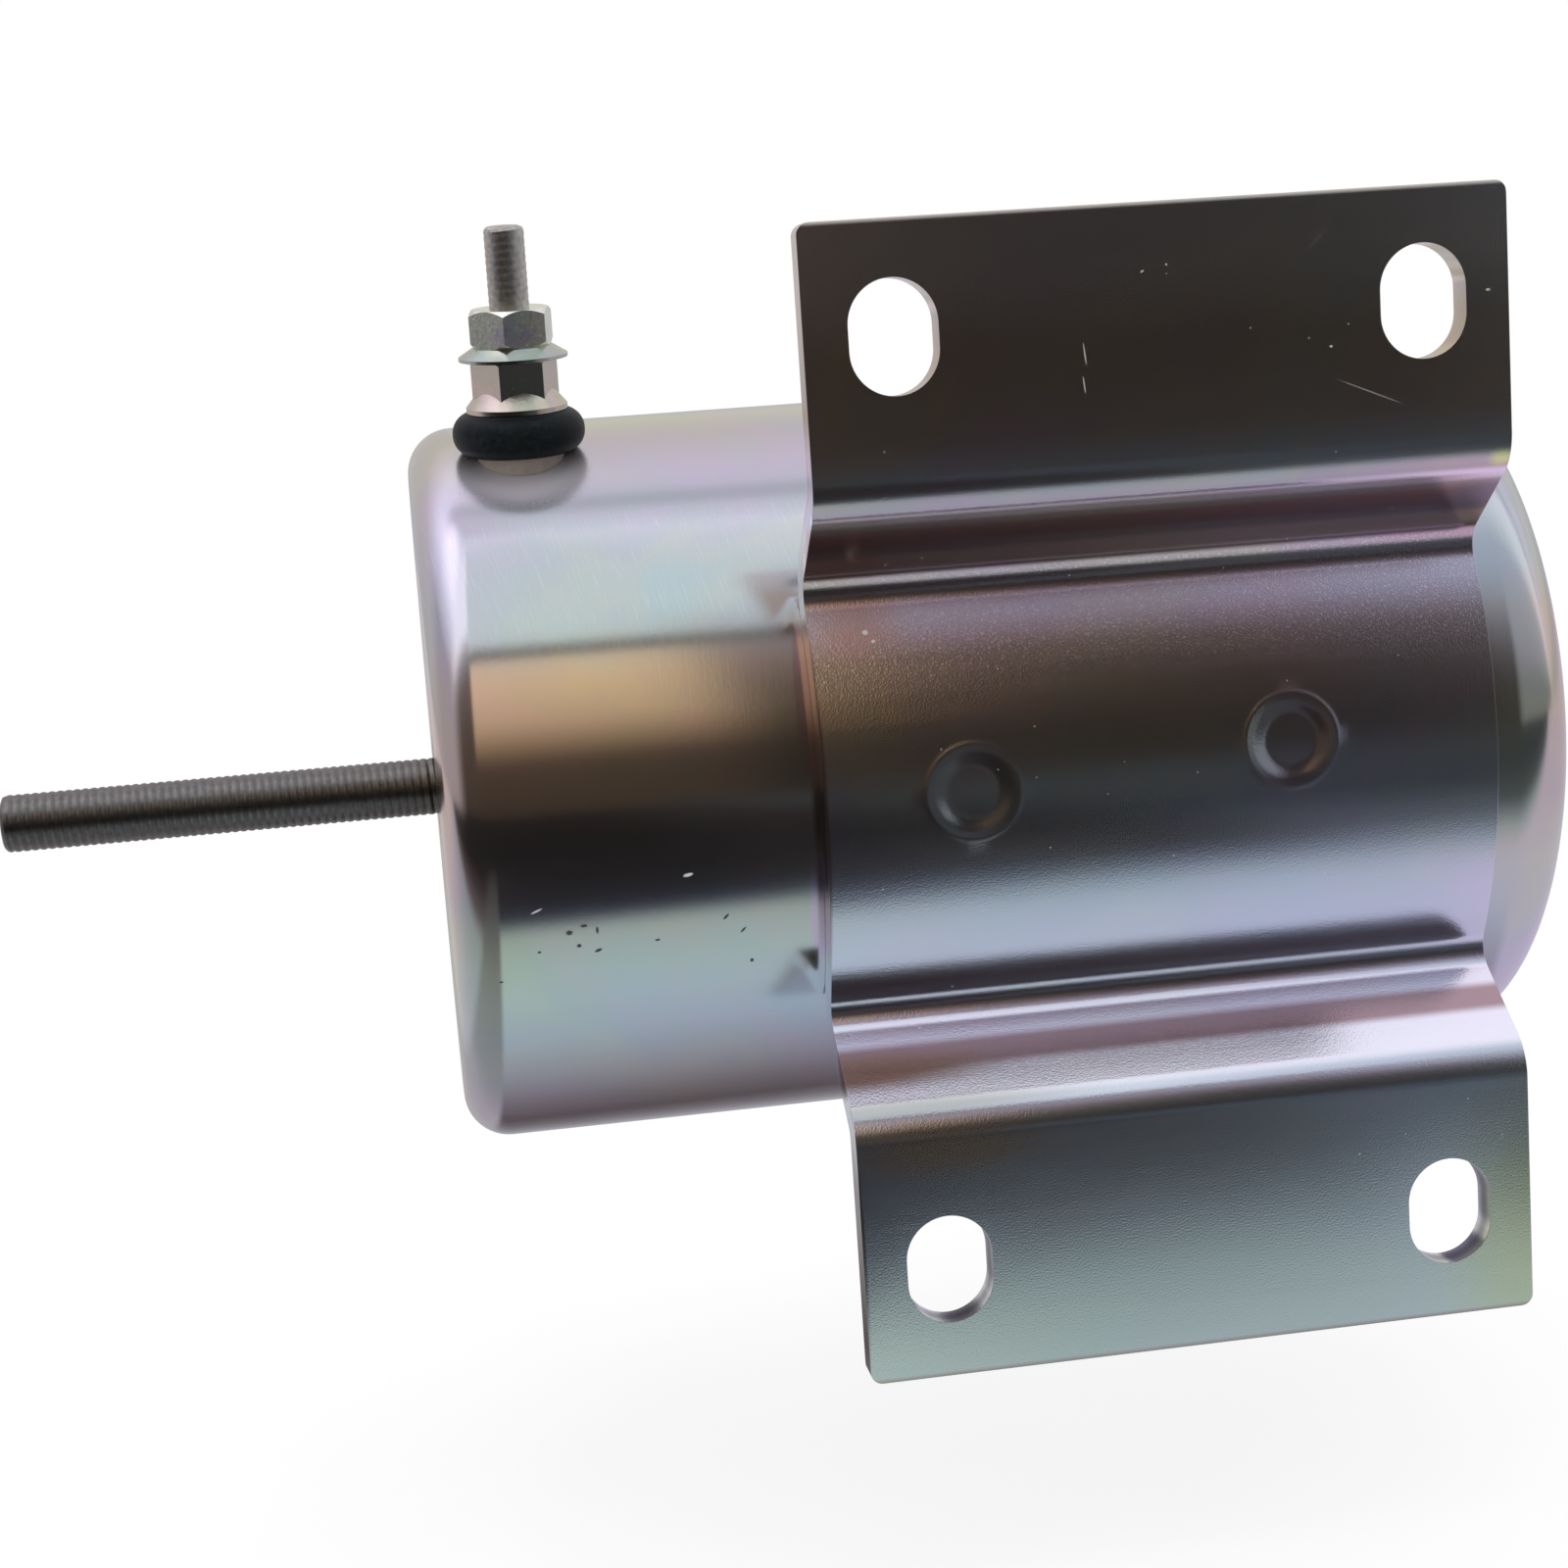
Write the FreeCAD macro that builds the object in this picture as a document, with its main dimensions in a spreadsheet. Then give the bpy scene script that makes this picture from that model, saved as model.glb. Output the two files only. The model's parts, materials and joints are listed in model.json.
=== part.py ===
import FreeCAD, Part
import math
import os
import re

import Sketcher

# Fuel shutoff solenoid, pull type: a threaded plunger rod comes out of the front of a drawn
# steel case, a folded bracket with four slots carries the case, and one terminal stud stands on it.
# Frame: X along the rod (-X is the rod's end), the bracket's mounting face lies in Y = 0 and faces -Y,
# +Z up. The origin is midway between the two slots nearest the rod. Sizes are millimetres and degrees.
# Free threads are drawn at their outer diameter, engaged ones and the plain shanks at the pitch diameter.

SIZES = {
    # case and rear cover
    "case_diameter": 79.4,
    "case_wall": 2.0,
    "case_corner": 5.0,
    "front_overhang": 37.5,
    "cover_straight": 12.1,
    "dome_radius": 120.0,
    "knuckle_radius": 8.0,
    "case_fit": 0.05,
    # mounting bracket
    "bracket_width": 69.85,
    "sheet_thickness": 3.2,
    "crown_depth": 5.3,
    "saddle_gap": 0.1,
    "leg_foot": 30.3,
    "leg_angle": 53.0,
    "bend_radius": 1.8,
    "flange_corner": 1.2,
    "slot_pitch_x": 52.4,
    "slot_pitch_z": 92.1,
    "slot_end": 11.1,
    "slot_width": 8.7,
    "slot_length": 11.1,
    "dimple_mouth": 8.6,
    "dimple_floor": 7.2,
    "dimple_depth": 1.1,
    "dimple_lip": 0.5,
    "front_dimple_inset": 15.1,
    "front_dimple_rise": 1.0,
    "rear_dimple_inset": 21.8,
    "rear_dimple_rise": 3.3,
    # rod, plunger and its guide
    "rod_diameter": 6.35,
    "rod_reach": 47.5,
    "rod_shank": 5.76,
    "thread_gap": 1.0,
    "rod_chamfer": 0.6,
    "rod_grip": 15.0,
    "rod_play": 0.05,
    "stroke": 25.4,
    "end_gap": 0.6,
    "plunger_diameter": 25.4,
    "plunger_length": 43.0,
    "plunger_chamfer": 1.0,
    "plunger_bore": 14.0,
    "plunger_bore_depth": 20.0,
    "plunger_play": 0.15,
    "tube_wall": 0.8,
    "bushing_bore": 16.0,
    "bushing_flange": 26.0,
    "bushing_flange_thickness": 4.0,
    "wiper_diameter": 11.0,
    "wiper_thickness": 1.6,
    "wiper_recess": 0.3,
    "bumper_thickness": 2.0,
    "bumper_diameter": 22.0,
    # coil and magnetic frame
    "chamber_length": 26.0,
    "front_plate_thickness": 5.0,
    "bobbin_length": 62.0,
    "bobbin_play": 1.2,
    "bobbin_flange": 2.5,
    "bobbin_wall": 1.5,
    "bobbin_fit": 0.1,
    "hold_in_share": 0.49,
    "winding_setback": 3.5,
    "wrap_thickness": 1.0,
    "winding_gap": 0.05,
    "rear_plate_thickness": 8.0,
    "spacer_wall": 2.0,
    "spacer_window": 14.0,
    "core_spigot": 18.0,
    "core_bore_depth": 12.0,
    # return spring
    "spring_play": 0.6,
    "spring_wire": 1.5,
    "spring_turns": 8.0,
    "seat_thickness": 1.5,
    "seat_play": 0.1,
    # cut-out switch behind the rear plate
    "switch_travel": 1.6,
    "switch_base_diameter": 36.0,
    "switch_base_thickness": 4.0,
    "switch_opening": 9.0,
    "pin_diameter": 3.0,
    "pin_play": 0.08,
    "pin_collar": 6.0,
    "collar_thickness": 1.5,
    "pin_tail": 5.4,
    "contact_thickness": 0.8,
    "contact_width": 6.0,
    "contact_inner": 6.5,
    "contact_length": 8.0,
    "tail_reach": 13.0,
    "tail_diameter": 2.0,
    "tail_boss": 4.2,
    "boss_play": 0.1,
    "blade_length": 18.0,
    "blade_width": 5.0,
    "blade_thickness": 1.0,
    "switch_spring_diameter": 7.0,
    "switch_spring_wire": 0.7,
    "switch_spring_turns": 3.0,
    "yoke_height": 9.7,
    "yoke_thickness": 0.8,
    "yoke_width": 8.0,
    "screw_room": 0.75,
    "yoke_foot": 6.0,
    "screw_reach": 14.5,
    "screw_diameter": 3.0,
    "screw_head": 5.5,
    "screw_head_height": 2.0,
    "screw_length": 10.0,
    # terminal
    "terminal_setback": 11.85,
    "terminal_offset": 15.2,
    "terminal_tilt": 7.0,
    "stud_diameter": 4.166,
    "stud_shank": 3.65,
    "stud_rise": 23.7,
    "stud_drop": 11.5,
    "stud_chamfer": 0.45,
    "stud_play": 0.05,
    "bush_diameter": 9.2,
    "bush_rise": 0.15,
    "bush_shank": 7.8,
    "wall_play": 0.1,
    "seal_diameter": 13.9,
    "seal_height": 4.6,
    "seal_round": 2.2,
    "nut_flats": 7.94,
    "nut_chamfer": 0.55,
    "flange_nut_height": 5.55,
    "flange_nut_flange": 10.6,
    "flange_nut_rim": 0.5,
    "flange_nut_flare": 2.1,
    "flange_nut_turn": 7.0,
    "washer_diameter": 11.4,
    "washer_height": 1.3,
    "washer_rim": 0.35,
    "washer_crown": 8.4,
    "top_nut_height": 3.9,
    "top_nut_turn": 17.5,
    "inner_bush_drop": 6.0,
    "strap_thickness": 0.8,
    "strap_width": 5.0,
    "strap_eye": 9.0,
    "strap_hole": 6.4,
    "inner_nut_height": 3.2,
}

# Places that follow from the sizes. Stations are X values of faces, radii end in _r.
PLACES = {
    "axis_depth": "crown_depth + sheet_thickness + saddle_gap + case_r",
    "case_r": "case_diameter / 2",
    "inner_r": "case_r - case_wall",
    "plate_r": "inner_r - case_fit",
    "bracket_front": "(slot_pitch_x - bracket_width) / 2",
    "bracket_top": "slot_pitch_z / 2 + slot_end",
    "case_front": "bracket_front - front_overhang",
    "chamber_front": "case_front + case_wall",
    "front_plate_front": "chamber_front + chamber_length",
    "bobbin_front": "front_plate_front + front_plate_thickness",
    "rear_plate_front": "bobbin_front + bobbin_length",
    "rear_plate_back": "rear_plate_front + rear_plate_thickness",
    "seam": "rear_plate_front + rear_plate_thickness / 2",
    "rod_r": "rod_diameter / 2",
    "plunger_r": "plunger_diameter / 2",
    "tube_inner_r": "plunger_r + plunger_play",
    "tube_outer_r": "tube_inner_r + tube_wall",
    "plunger_front": "chamber_front + bushing_flange_thickness + bumper_thickness",
    "plunger_back": "plunger_front + plunger_length",
    "core_front": "plunger_back + stroke + end_gap",
    "bobbin_bore_r": "tube_outer_r + bobbin_fit",
    "bobbin_tube_r": "bobbin_bore_r + bobbin_wall",
    "bobbin_r": "inner_r - bobbin_play",
    "winding_foot_r": "bobbin_tube_r + winding_gap",
    "hold_in_r": "winding_foot_r + hold_in_share * (pull_in_r - winding_foot_r)",
    "pull_in_r": "bobbin_r - winding_setback",
    "winding_length": "bobbin_length - 2 * bobbin_flange - 2 * winding_gap",
    "plunger_bore_floor": "plunger_back - plunger_bore_depth",
    "seat_back": "plunger_bore_floor + seat_thickness",
    "core_bore_floor": "core_front + core_bore_depth",
    "base_back": "rear_plate_back + switch_base_thickness",
    "blade_front": "base_back + contact_thickness",
    "blade_back": "blade_front + blade_thickness",
    "yoke_face": "base_back + yoke_height",
    "yoke_half": "screw_reach - screw_head / 2 - screw_room",
    "pin_front": "seat_back + stroke - switch_travel + pin_play",
    "terminal_x": "case_front + terminal_setback",
    "terminal_y": "axis_depth - terminal_offset",
    "terminal_z": "sqrt(case_r ^ 2 - terminal_offset ^ 2)",
    "stud_r": "stud_diameter / 2",
    "shank_r": "stud_shank / 2",
    "seal_top": "bush_rise + seal_height",
    "flange_nut_top": "seal_top + flange_nut_height",
    "washer_top": "flange_nut_top + washer_height - washer_lap",
    "top_nut_top": "washer_top + top_nut_height",
    "washer_lap": "nut_chamfer / 3",
    "strap_level": "-inner_bush_drop - strap_thickness",
    "hex_corner_r": "nut_flats / 2 / cos(30)",
}

doc = FreeCAD.newDocument("fuel_shutoff_solenoid")
sheet = doc.addObject("Spreadsheet::Sheet", "Sizes")
for row, (alias, value) in enumerate(SIZES.items(), start=1):
    sheet.set(f"A{row}", alias)
    sheet.set(f"B{row}", str(value))
    sheet.setAlias(f"B{row}", alias)
doc.recompute()

PARTS = []
X_AXIS = FreeCAD.Vector(1, 0, 0)
Y_AXIS = FreeCAD.Vector(0, 1, 0)
Z_AXIS = FreeCAD.Vector(0, 0, 1)
ALONG_X = FreeCAD.Rotation(Y_AXIS, 90)
UP_TERMINAL = FreeCAD.Rotation(X_AXIS, SIZES["terminal_tilt"])
TERMINAL_TURNED = UP_TERMINAL.multiply(FreeCAD.Rotation(Y_AXIS, -90))


def bound(formula):
    """Writes out the places in a formula and points its sizes at the sheet's cells."""

    def written_out(match):
        word = match.group(0)
        if word in PLACES:
            return f"({bound(PLACES[word])})"
        return f"Sizes.{word}" if word in SIZES else word

    return re.sub(r"[a-z_]+", written_out, str(formula))


def bind(thing, **formulas):
    """Ties properties of an object to formulas in the sizes."""
    for name, formula in formulas.items():
        thing.setExpression(name, bound(formula))


def put(thing, x="0", y="0", z="0", rotation=None):
    """Gives an object its turn, and a base point that follows the sizes."""
    thing.Placement = FreeCAD.Placement(FreeCAD.Vector(), rotation or FreeCAD.Rotation())
    for letter, formula in zip("xyz", (x, y, z)):
        thing.setExpression(f"Placement.Base.{letter}", bound(formula))
    return thing


def on_axis(thing, station, rotation=None):
    """Puts an object on the solenoid's axis with its origin at a station along X."""
    return put(thing, station, "axis_depth", "0", rotation)


def on_terminal(thing, level="0", rotation=TERMINAL_TURNED):
    """Puts an object on the terminal's axis at a level above the case wall."""
    return put(
        thing,
        "terminal_x",
        f"terminal_y - ({level}) * sin(terminal_tilt)",
        f"terminal_z + ({level}) * cos(terminal_tilt)",
        rotation,
    )


def sub_part(thing, label):
    """Names an object as one of the physical pieces."""
    thing.Label = label
    PARTS.append(thing)
    return thing


def new_body(name):
    """Starts a body under a working name."""
    return doc.addObject("PartDesign::Body", name)


def new_sketch(body, name, role):
    """Starts a sketch on one of the body's own origin planes."""
    sketch = body.newObject("Sketcher::SketchObject", f"{body.Name}_{name}")
    plane = next(item for item in body.Origin.OriginFeatures if item.Role == role)
    sketch.AttachmentSupport = [(plane, "")]
    sketch.MapMode = "FlatFace"
    return sketch


def drawn_value(sketch, kind, where):
    """The value that a dimension has in the sketch as it is drawn now."""
    if kind == "Radius":
        return sketch.Geometry[where[0]].Radius
    point = sketch.getPoint(*where[-2:])
    return point.x if kind == "DistanceX" else point.y


def fix(sketch, kind, formula, *where):
    """Adds one dimension to a sketch and ties it to a formula. A place on an axis is plain geometry."""
    if formula == "0":
        axis = -2 if kind == "DistanceX" else -1
        sketch.addConstraint(Sketcher.Constraint("PointOnObject", *where[-2:], axis))
        return
    index = sketch.addConstraint(Sketcher.Constraint(kind, *where, drawn_value(sketch, kind, where)))
    sketch.setExpression(f"Constraints[{index}]", bound(formula))


def fix_point(sketch, geometry, end, across, up):
    """Dimensions a point from the sketch's origin."""
    fix(sketch, "DistanceX", across, -1, 1, geometry, end)
    fix(sketch, "DistanceY", up, -1, 1, geometry, end)


def outline(body, name, role, points):
    """Draws a closed outline of straight lines whose corners are pairs of formulas."""
    sketch = new_sketch(body, name, role)
    count = len(points)
    start = [FreeCAD.Vector(math.cos(turn), math.sin(turn), 0)
             for turn in (2 * math.pi * index / count for index in range(count))]
    for index in range(count):
        sketch.addGeometry(Part.LineSegment(start[index], start[(index + 1) % count]))
    for index in range(count):
        sketch.addConstraint(Sketcher.Constraint("Coincident", index, 2, (index + 1) % count, 1))
    for index, (across, up) in enumerate(points):
        fix_point(sketch, index, 1, across, up)
    return sketch


def revolve(body, sketch):
    """Turns a sketch about its horizontal axis."""
    turning = body.newObject("PartDesign::Revolution", f"{body.Name}_turning")
    turning.Profile = sketch
    turning.ReferenceAxis = (sketch, ["H_Axis"])
    turning.Angle = 360
    body.Tip = turning
    return turning


def turned(name, points):
    """Makes a turned piece from its half section: pairs of distance along the axis and radius."""
    body = new_body(name)
    revolve(body, outline(body, "section", "XY_Plane", points))
    return body


def ring(name, length, inner, outer):
    """Makes a plain ring or tube."""
    return turned(name, [("0", inner), ("0", outer), (length, outer), (length, inner)])


def circles(shape, *wanted):
    """Finds the circular edges with the given centres along X and radii."""
    found = []
    for number, edge in enumerate(shape.Edges, start=1):
        if not isinstance(edge.Curve, Part.Circle):
            continue
        centre, radius = edge.Curve.Center, edge.Curve.Radius
        if any(abs(centre.x - x) < 1e-4 and abs(radius - r) < 1e-4 for x, r in wanted):
            found.append(f"Edge{number}")
    return found


def round_off(body, name, radius, edges):
    """Rounds edges of a body's tip."""
    base = body.Tip
    fillet = body.newObject("PartDesign::Fillet", f"{body.Name}_{name}")
    fillet.Base = (base, edges)
    bind(fillet, Radius=radius)
    body.Tip = fillet
    return fillet


def cylinder(name, radius, length):
    """Makes a plain cylinder that stands on its origin along its own Z."""
    thing = doc.addObject("Part::Cylinder", name)
    bind(thing, Radius=radius, Height=length)
    return thing


def block(name, length, width, height):
    """Makes a plain block from its corner along X, Y and Z."""
    thing = doc.addObject("Part::Box", name)
    bind(thing, Length=length, Width=width, Height=height)
    return thing


def cut(name, base, *tools):
    """Takes tools away from a base, one after the other."""
    for number, tool in enumerate(tools, start=1):
        step = doc.addObject("Part::Cut", f"{name}_cut_{number}")
        step.Base, step.Tool = base, tool
        base = step
    return base


def join(name, *things):
    """Fuses things into one solid."""
    joined = doc.addObject("Part::MultiFuse", f"{name}_joined")
    joined.Shapes = list(things)
    joined.Refine = True
    return joined


def overlap(name, first, second):
    """Keeps what two things share."""
    shared = doc.addObject("Part::Common", f"{name}_shared")
    shared.Base, shared.Tool = first, second
    return shared


def case_envelope(name, radius):
    """Makes a long cylinder on the solenoid's axis, to fit things against the case's wall."""
    return on_axis(cylinder(name, radius, "chamber_length + case_wall"), "case_front", ALONG_X)


def make_case():
    """The drawn cup: closed front with a rounded corner, open at the seam, holed for rod and terminal."""
    body = new_body("case_body")
    depth = "seam - case_front"
    revolve(body, outline(body, "section", "XY_Plane", [
        ("0", "bushing_bore / 2"), ("0", "case_r"), (depth, "case_r"),
        (depth, "inner_r"), ("case_wall", "inner_r"), ("case_wall", "bushing_bore / 2"),
    ]))
    doc.recompute()
    outer, wall = SIZES["case_diameter"] / 2, SIZES["case_wall"]
    round_off(body, "outer_corner", "case_corner", circles(body.Tip.Shape, (0, outer)))
    doc.recompute()
    round_off(body, "inner_corner", "case_corner - case_wall", circles(body.Tip.Shape, (wall, outer - wall)))
    on_axis(body, "case_front")
    hole = cylinder("case_terminal_hole", "bush_shank / 2 + wall_play", "case_diameter / 4")
    on_terminal(hole, "-case_diameter / 8", UP_TERMINAL)
    sub_part(cut("case", body, hole), "case")


def make_rear_cover():
    """The domed cover: straight rim from the seam, a knuckle, and a shallow ball-shaped end."""
    body = new_body("rear_cover_body")
    sketch = new_sketch(body, "section", "XY_Plane")
    outer, straight = SIZES["case_diameter"] / 2, SIZES["cover_straight"]
    knuckle, dome, wall = SIZES["knuckle_radius"], SIZES["dome_radius"], SIZES["case_wall"]
    dome_x = straight - math.sqrt((dome - knuckle) ** 2 - (outer - knuckle) ** 2)
    lean = math.atan2(outer - knuckle, straight - dome_x)
    knuckle_centre = FreeCAD.Vector(straight, outer - knuckle, 0)
    dome_centre = FreeCAD.Vector(dome_x, 0, 0)
    for thinner in (0, wall):
        rim = outer - thinner
        sketch.addGeometry(Part.LineSegment(FreeCAD.Vector(0, rim, 0), FreeCAD.Vector(straight, rim, 0)))
        sketch.addGeometry(Part.ArcOfCircle(
            Part.Circle(knuckle_centre, Z_AXIS, knuckle - thinner), lean, math.pi / 2))
        sketch.addGeometry(Part.ArcOfCircle(Part.Circle(dome_centre, Z_AXIS, dome - thinner), 0, lean))
    sketch.addGeometry(Part.LineSegment(FreeCAD.Vector(0, outer - wall, 0), FreeCAD.Vector(0, outer, 0)))
    sketch.addGeometry(Part.LineSegment(
        FreeCAD.Vector(dome_x + dome - wall, 0, 0), FreeCAD.Vector(dome_x + dome, 0, 0)))
    (outer_line, outer_knuckle, outer_dome, inner_line, inner_knuckle, inner_dome,
     seam_line, axis_line) = range(8)
    for line, bend, ball in ((outer_line, outer_knuckle, outer_dome), (inner_line, inner_knuckle, inner_dome)):
        sketch.addConstraint(Sketcher.Constraint("Tangent", line, 2, bend, 2))
        sketch.addConstraint(Sketcher.Constraint("Tangent", bend, 1, ball, 2))
        sketch.addConstraint(Sketcher.Constraint("Horizontal", line))
        sketch.addConstraint(Sketcher.Constraint("PointOnObject", ball, 3, -1))
        sketch.addConstraint(Sketcher.Constraint("PointOnObject", ball, 1, -1))
    for kind, first, first_end, second, second_end in (
        ("Coincident", seam_line, 1, inner_line, 1), ("Coincident", seam_line, 2, outer_line, 1),
        ("Coincident", axis_line, 1, inner_dome, 1), ("Coincident", axis_line, 2, outer_dome, 1),
    ):
        sketch.addConstraint(Sketcher.Constraint(kind, first, first_end, second, second_end))
    fix_point(sketch, outer_line, 1, "0", "case_r")
    fix_point(sketch, inner_line, 1, "0", "inner_r")
    for line in (outer_line, inner_line):
        fix(sketch, "DistanceX", "cover_straight", -1, 1, line, 2)
    for arc, radius in (
        (outer_knuckle, "knuckle_radius"), (outer_dome, "dome_radius"),
        (inner_knuckle, "knuckle_radius - case_wall"), (inner_dome, "dome_radius - case_wall"),
    ):
        fix(sketch, "Radius", radius, arc)
    revolve(body, sketch)
    sub_part(on_axis(body, "seam"), "rear_cover")


def leg_end(foot, radius, depth):
    """Where a leg that starts at the mounting face at a height meets the saddle's circle."""
    lean = math.radians(SIZES["leg_angle"])
    middle = depth * math.sin(lean) + foot * math.cos(lean)
    reach = middle - math.sqrt(middle ** 2 - depth ** 2 - foot ** 2 + radius ** 2)
    return reach * math.sin(lean), foot - reach * math.cos(lean)


def bracket_half_height():
    """How far the flanges reach above and below the rod's axis."""
    return SIZES["slot_pitch_z"] / 2 + SIZES["slot_end"]


def bracket_section(body):
    """Draws the folded sheet's section in Y and Z: two flanges, two legs and the saddle between them."""
    thickness, foot, half = SIZES["sheet_thickness"], SIZES["leg_foot"], bracket_half_height()
    lean = math.radians(SIZES["leg_angle"])
    saddle = SIZES["case_diameter"] / 2 + SIZES["saddle_gap"] + thickness
    depth = SIZES["crown_depth"] + saddle
    sketch = new_sketch(body, "section", "YZ_Plane")
    sides = (
        (0, saddle, foot, foot),
        (thickness, saddle - thickness,
         foot + thickness * math.tan(lean / 2), foot + thickness / math.sin(lean)),
    )
    for plane, radius, bend, far_foot in sides:
        across, up = leg_end(far_foot, radius, depth)
        corners = [(plane, half), (plane, bend), (across, up), (across, -up), (plane, -bend), (plane, -half)]
        dots = [FreeCAD.Vector(y, z, 0) for y, z in corners]
        crown = FreeCAD.Vector(depth - radius, 0, 0)
        sketch.addGeometry(Part.LineSegment(dots[0], dots[1]))
        sketch.addGeometry(Part.LineSegment(dots[1], dots[2]))
        sketch.addGeometry(Part.Arc(dots[2], crown, dots[3]))
        sketch.addGeometry(Part.LineSegment(dots[3], dots[4]))
        sketch.addGeometry(Part.LineSegment(dots[4], dots[5]))
    for first in (0, 5):
        flange, leg, arc, low_leg, low_flange = range(first, first + 5)
        tied = [(flange, 2, leg, 1), (leg, 2, arc, 2), (arc, 1, low_leg, 1), (low_leg, 2, low_flange, 1)]
        if abs(sketch.Geometry[arc].StartPoint.y - sketch.Geometry[leg].EndPoint.y) < 1e-6:
            tied[1], tied[2] = (leg, 2, arc, 1), (arc, 2, low_leg, 1)
        for ends in tied:
            sketch.addConstraint(Sketcher.Constraint("Coincident", *ends))
        plane = "0" if first == 0 else "sheet_thickness"
        bend = "leg_foot" if first == 0 else "leg_foot + sheet_thickness * tan(leg_angle / 2)"
        fix_point(sketch, flange, 1, plane, "bracket_top")
        fix_point(sketch, flange, 2, plane, bend)
        fix_point(sketch, low_leg, 2, plane, f"-({bend})")
        fix_point(sketch, low_flange, 2, plane, "-bracket_top")
        fix_point(sketch, arc, 3, "axis_depth", "0")
        fix(sketch, "Radius", "axis_depth - crown_depth" if first == 0 else "case_r + saddle_gap", arc)
        for line, angle in ((leg, "leg_angle - 90"), (low_leg, "-90 - leg_angle")):
            index = sketch.addConstraint(Sketcher.Constraint("Angle", line, math.radians(
                SIZES["leg_angle"] - 90 if line == leg else -90 - SIZES["leg_angle"])))
            sketch.setExpression(f"Constraints[{index}]", f"({bound(angle)}) * 1deg")
    for first_end, second_end in ((1, 1), (2, 2)):
        front = 0 if first_end == 1 else 4
        edge = sketch.addGeometry(Part.LineSegment(
            sketch.getPoint(front, first_end), sketch.getPoint(front + 5, second_end)))
        sketch.addConstraint(Sketcher.Constraint("Coincident", edge, 1, front, first_end))
        sketch.addConstraint(Sketcher.Constraint("Coincident", edge, 2, front + 5, second_end))
    return sketch


def fold_edges(shape, places):
    """Finds the edges along X that run through the given places in Y and Z."""

    def at_a_place(point):
        return any(abs(point.y - y) < 1e-4 and abs(point.z - z) < 1e-4 for y, z in places)

    found = []
    for number, edge in enumerate(shape.Edges, start=1):
        ends = [vertex.Point for vertex in edge.Vertexes]
        if len(ends) == 2 and all(map(at_a_place, ends)) and abs(ends[0].x - ends[1].x) > 1:
            found.append(f"Edge{number}")
    return found


def slot_outline(sketch, column, line):
    """Draws one round-ended slot that runs along Z, centred on a column along X and a line along Z."""
    across = (SIZES["bracket_width"] + column * SIZES["slot_pitch_x"]) / 2
    up = line * SIZES["slot_pitch_z"] / 2
    radius = SIZES["slot_width"] / 2
    half = SIZES["slot_length"] / 2 - radius
    top = sketch.addGeometry(Part.ArcOfCircle(
        Part.Circle(FreeCAD.Vector(across, up + half, 0), Z_AXIS, radius), 0, math.pi))
    low = sketch.addGeometry(Part.ArcOfCircle(
        Part.Circle(FreeCAD.Vector(across, up - half, 0), Z_AXIS, radius), math.pi, 2 * math.pi))
    left = sketch.addGeometry(Part.LineSegment(
        FreeCAD.Vector(across - radius, up + half, 0), FreeCAD.Vector(across - radius, up - half, 0)))
    right = sketch.addGeometry(Part.LineSegment(
        FreeCAD.Vector(across + radius, up - half, 0), FreeCAD.Vector(across + radius, up + half, 0)))
    for ends in ((top, 2, left, 1), (left, 2, low, 1), (low, 2, right, 1), (right, 2, top, 1)):
        sketch.addConstraint(Sketcher.Constraint("Tangent", *ends))
    middle = f"(bracket_width + ({column}) * slot_pitch_x) / 2"
    centre = f"({line}) * slot_pitch_z / 2"
    fix_point(sketch, top, 3, middle, f"{centre} + (slot_length - slot_width) / 2")
    fix_point(sketch, low, 3, middle, f"{centre} - (slot_length - slot_width) / 2")
    fix(sketch, "Radius", "slot_width / 2", top)


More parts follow.
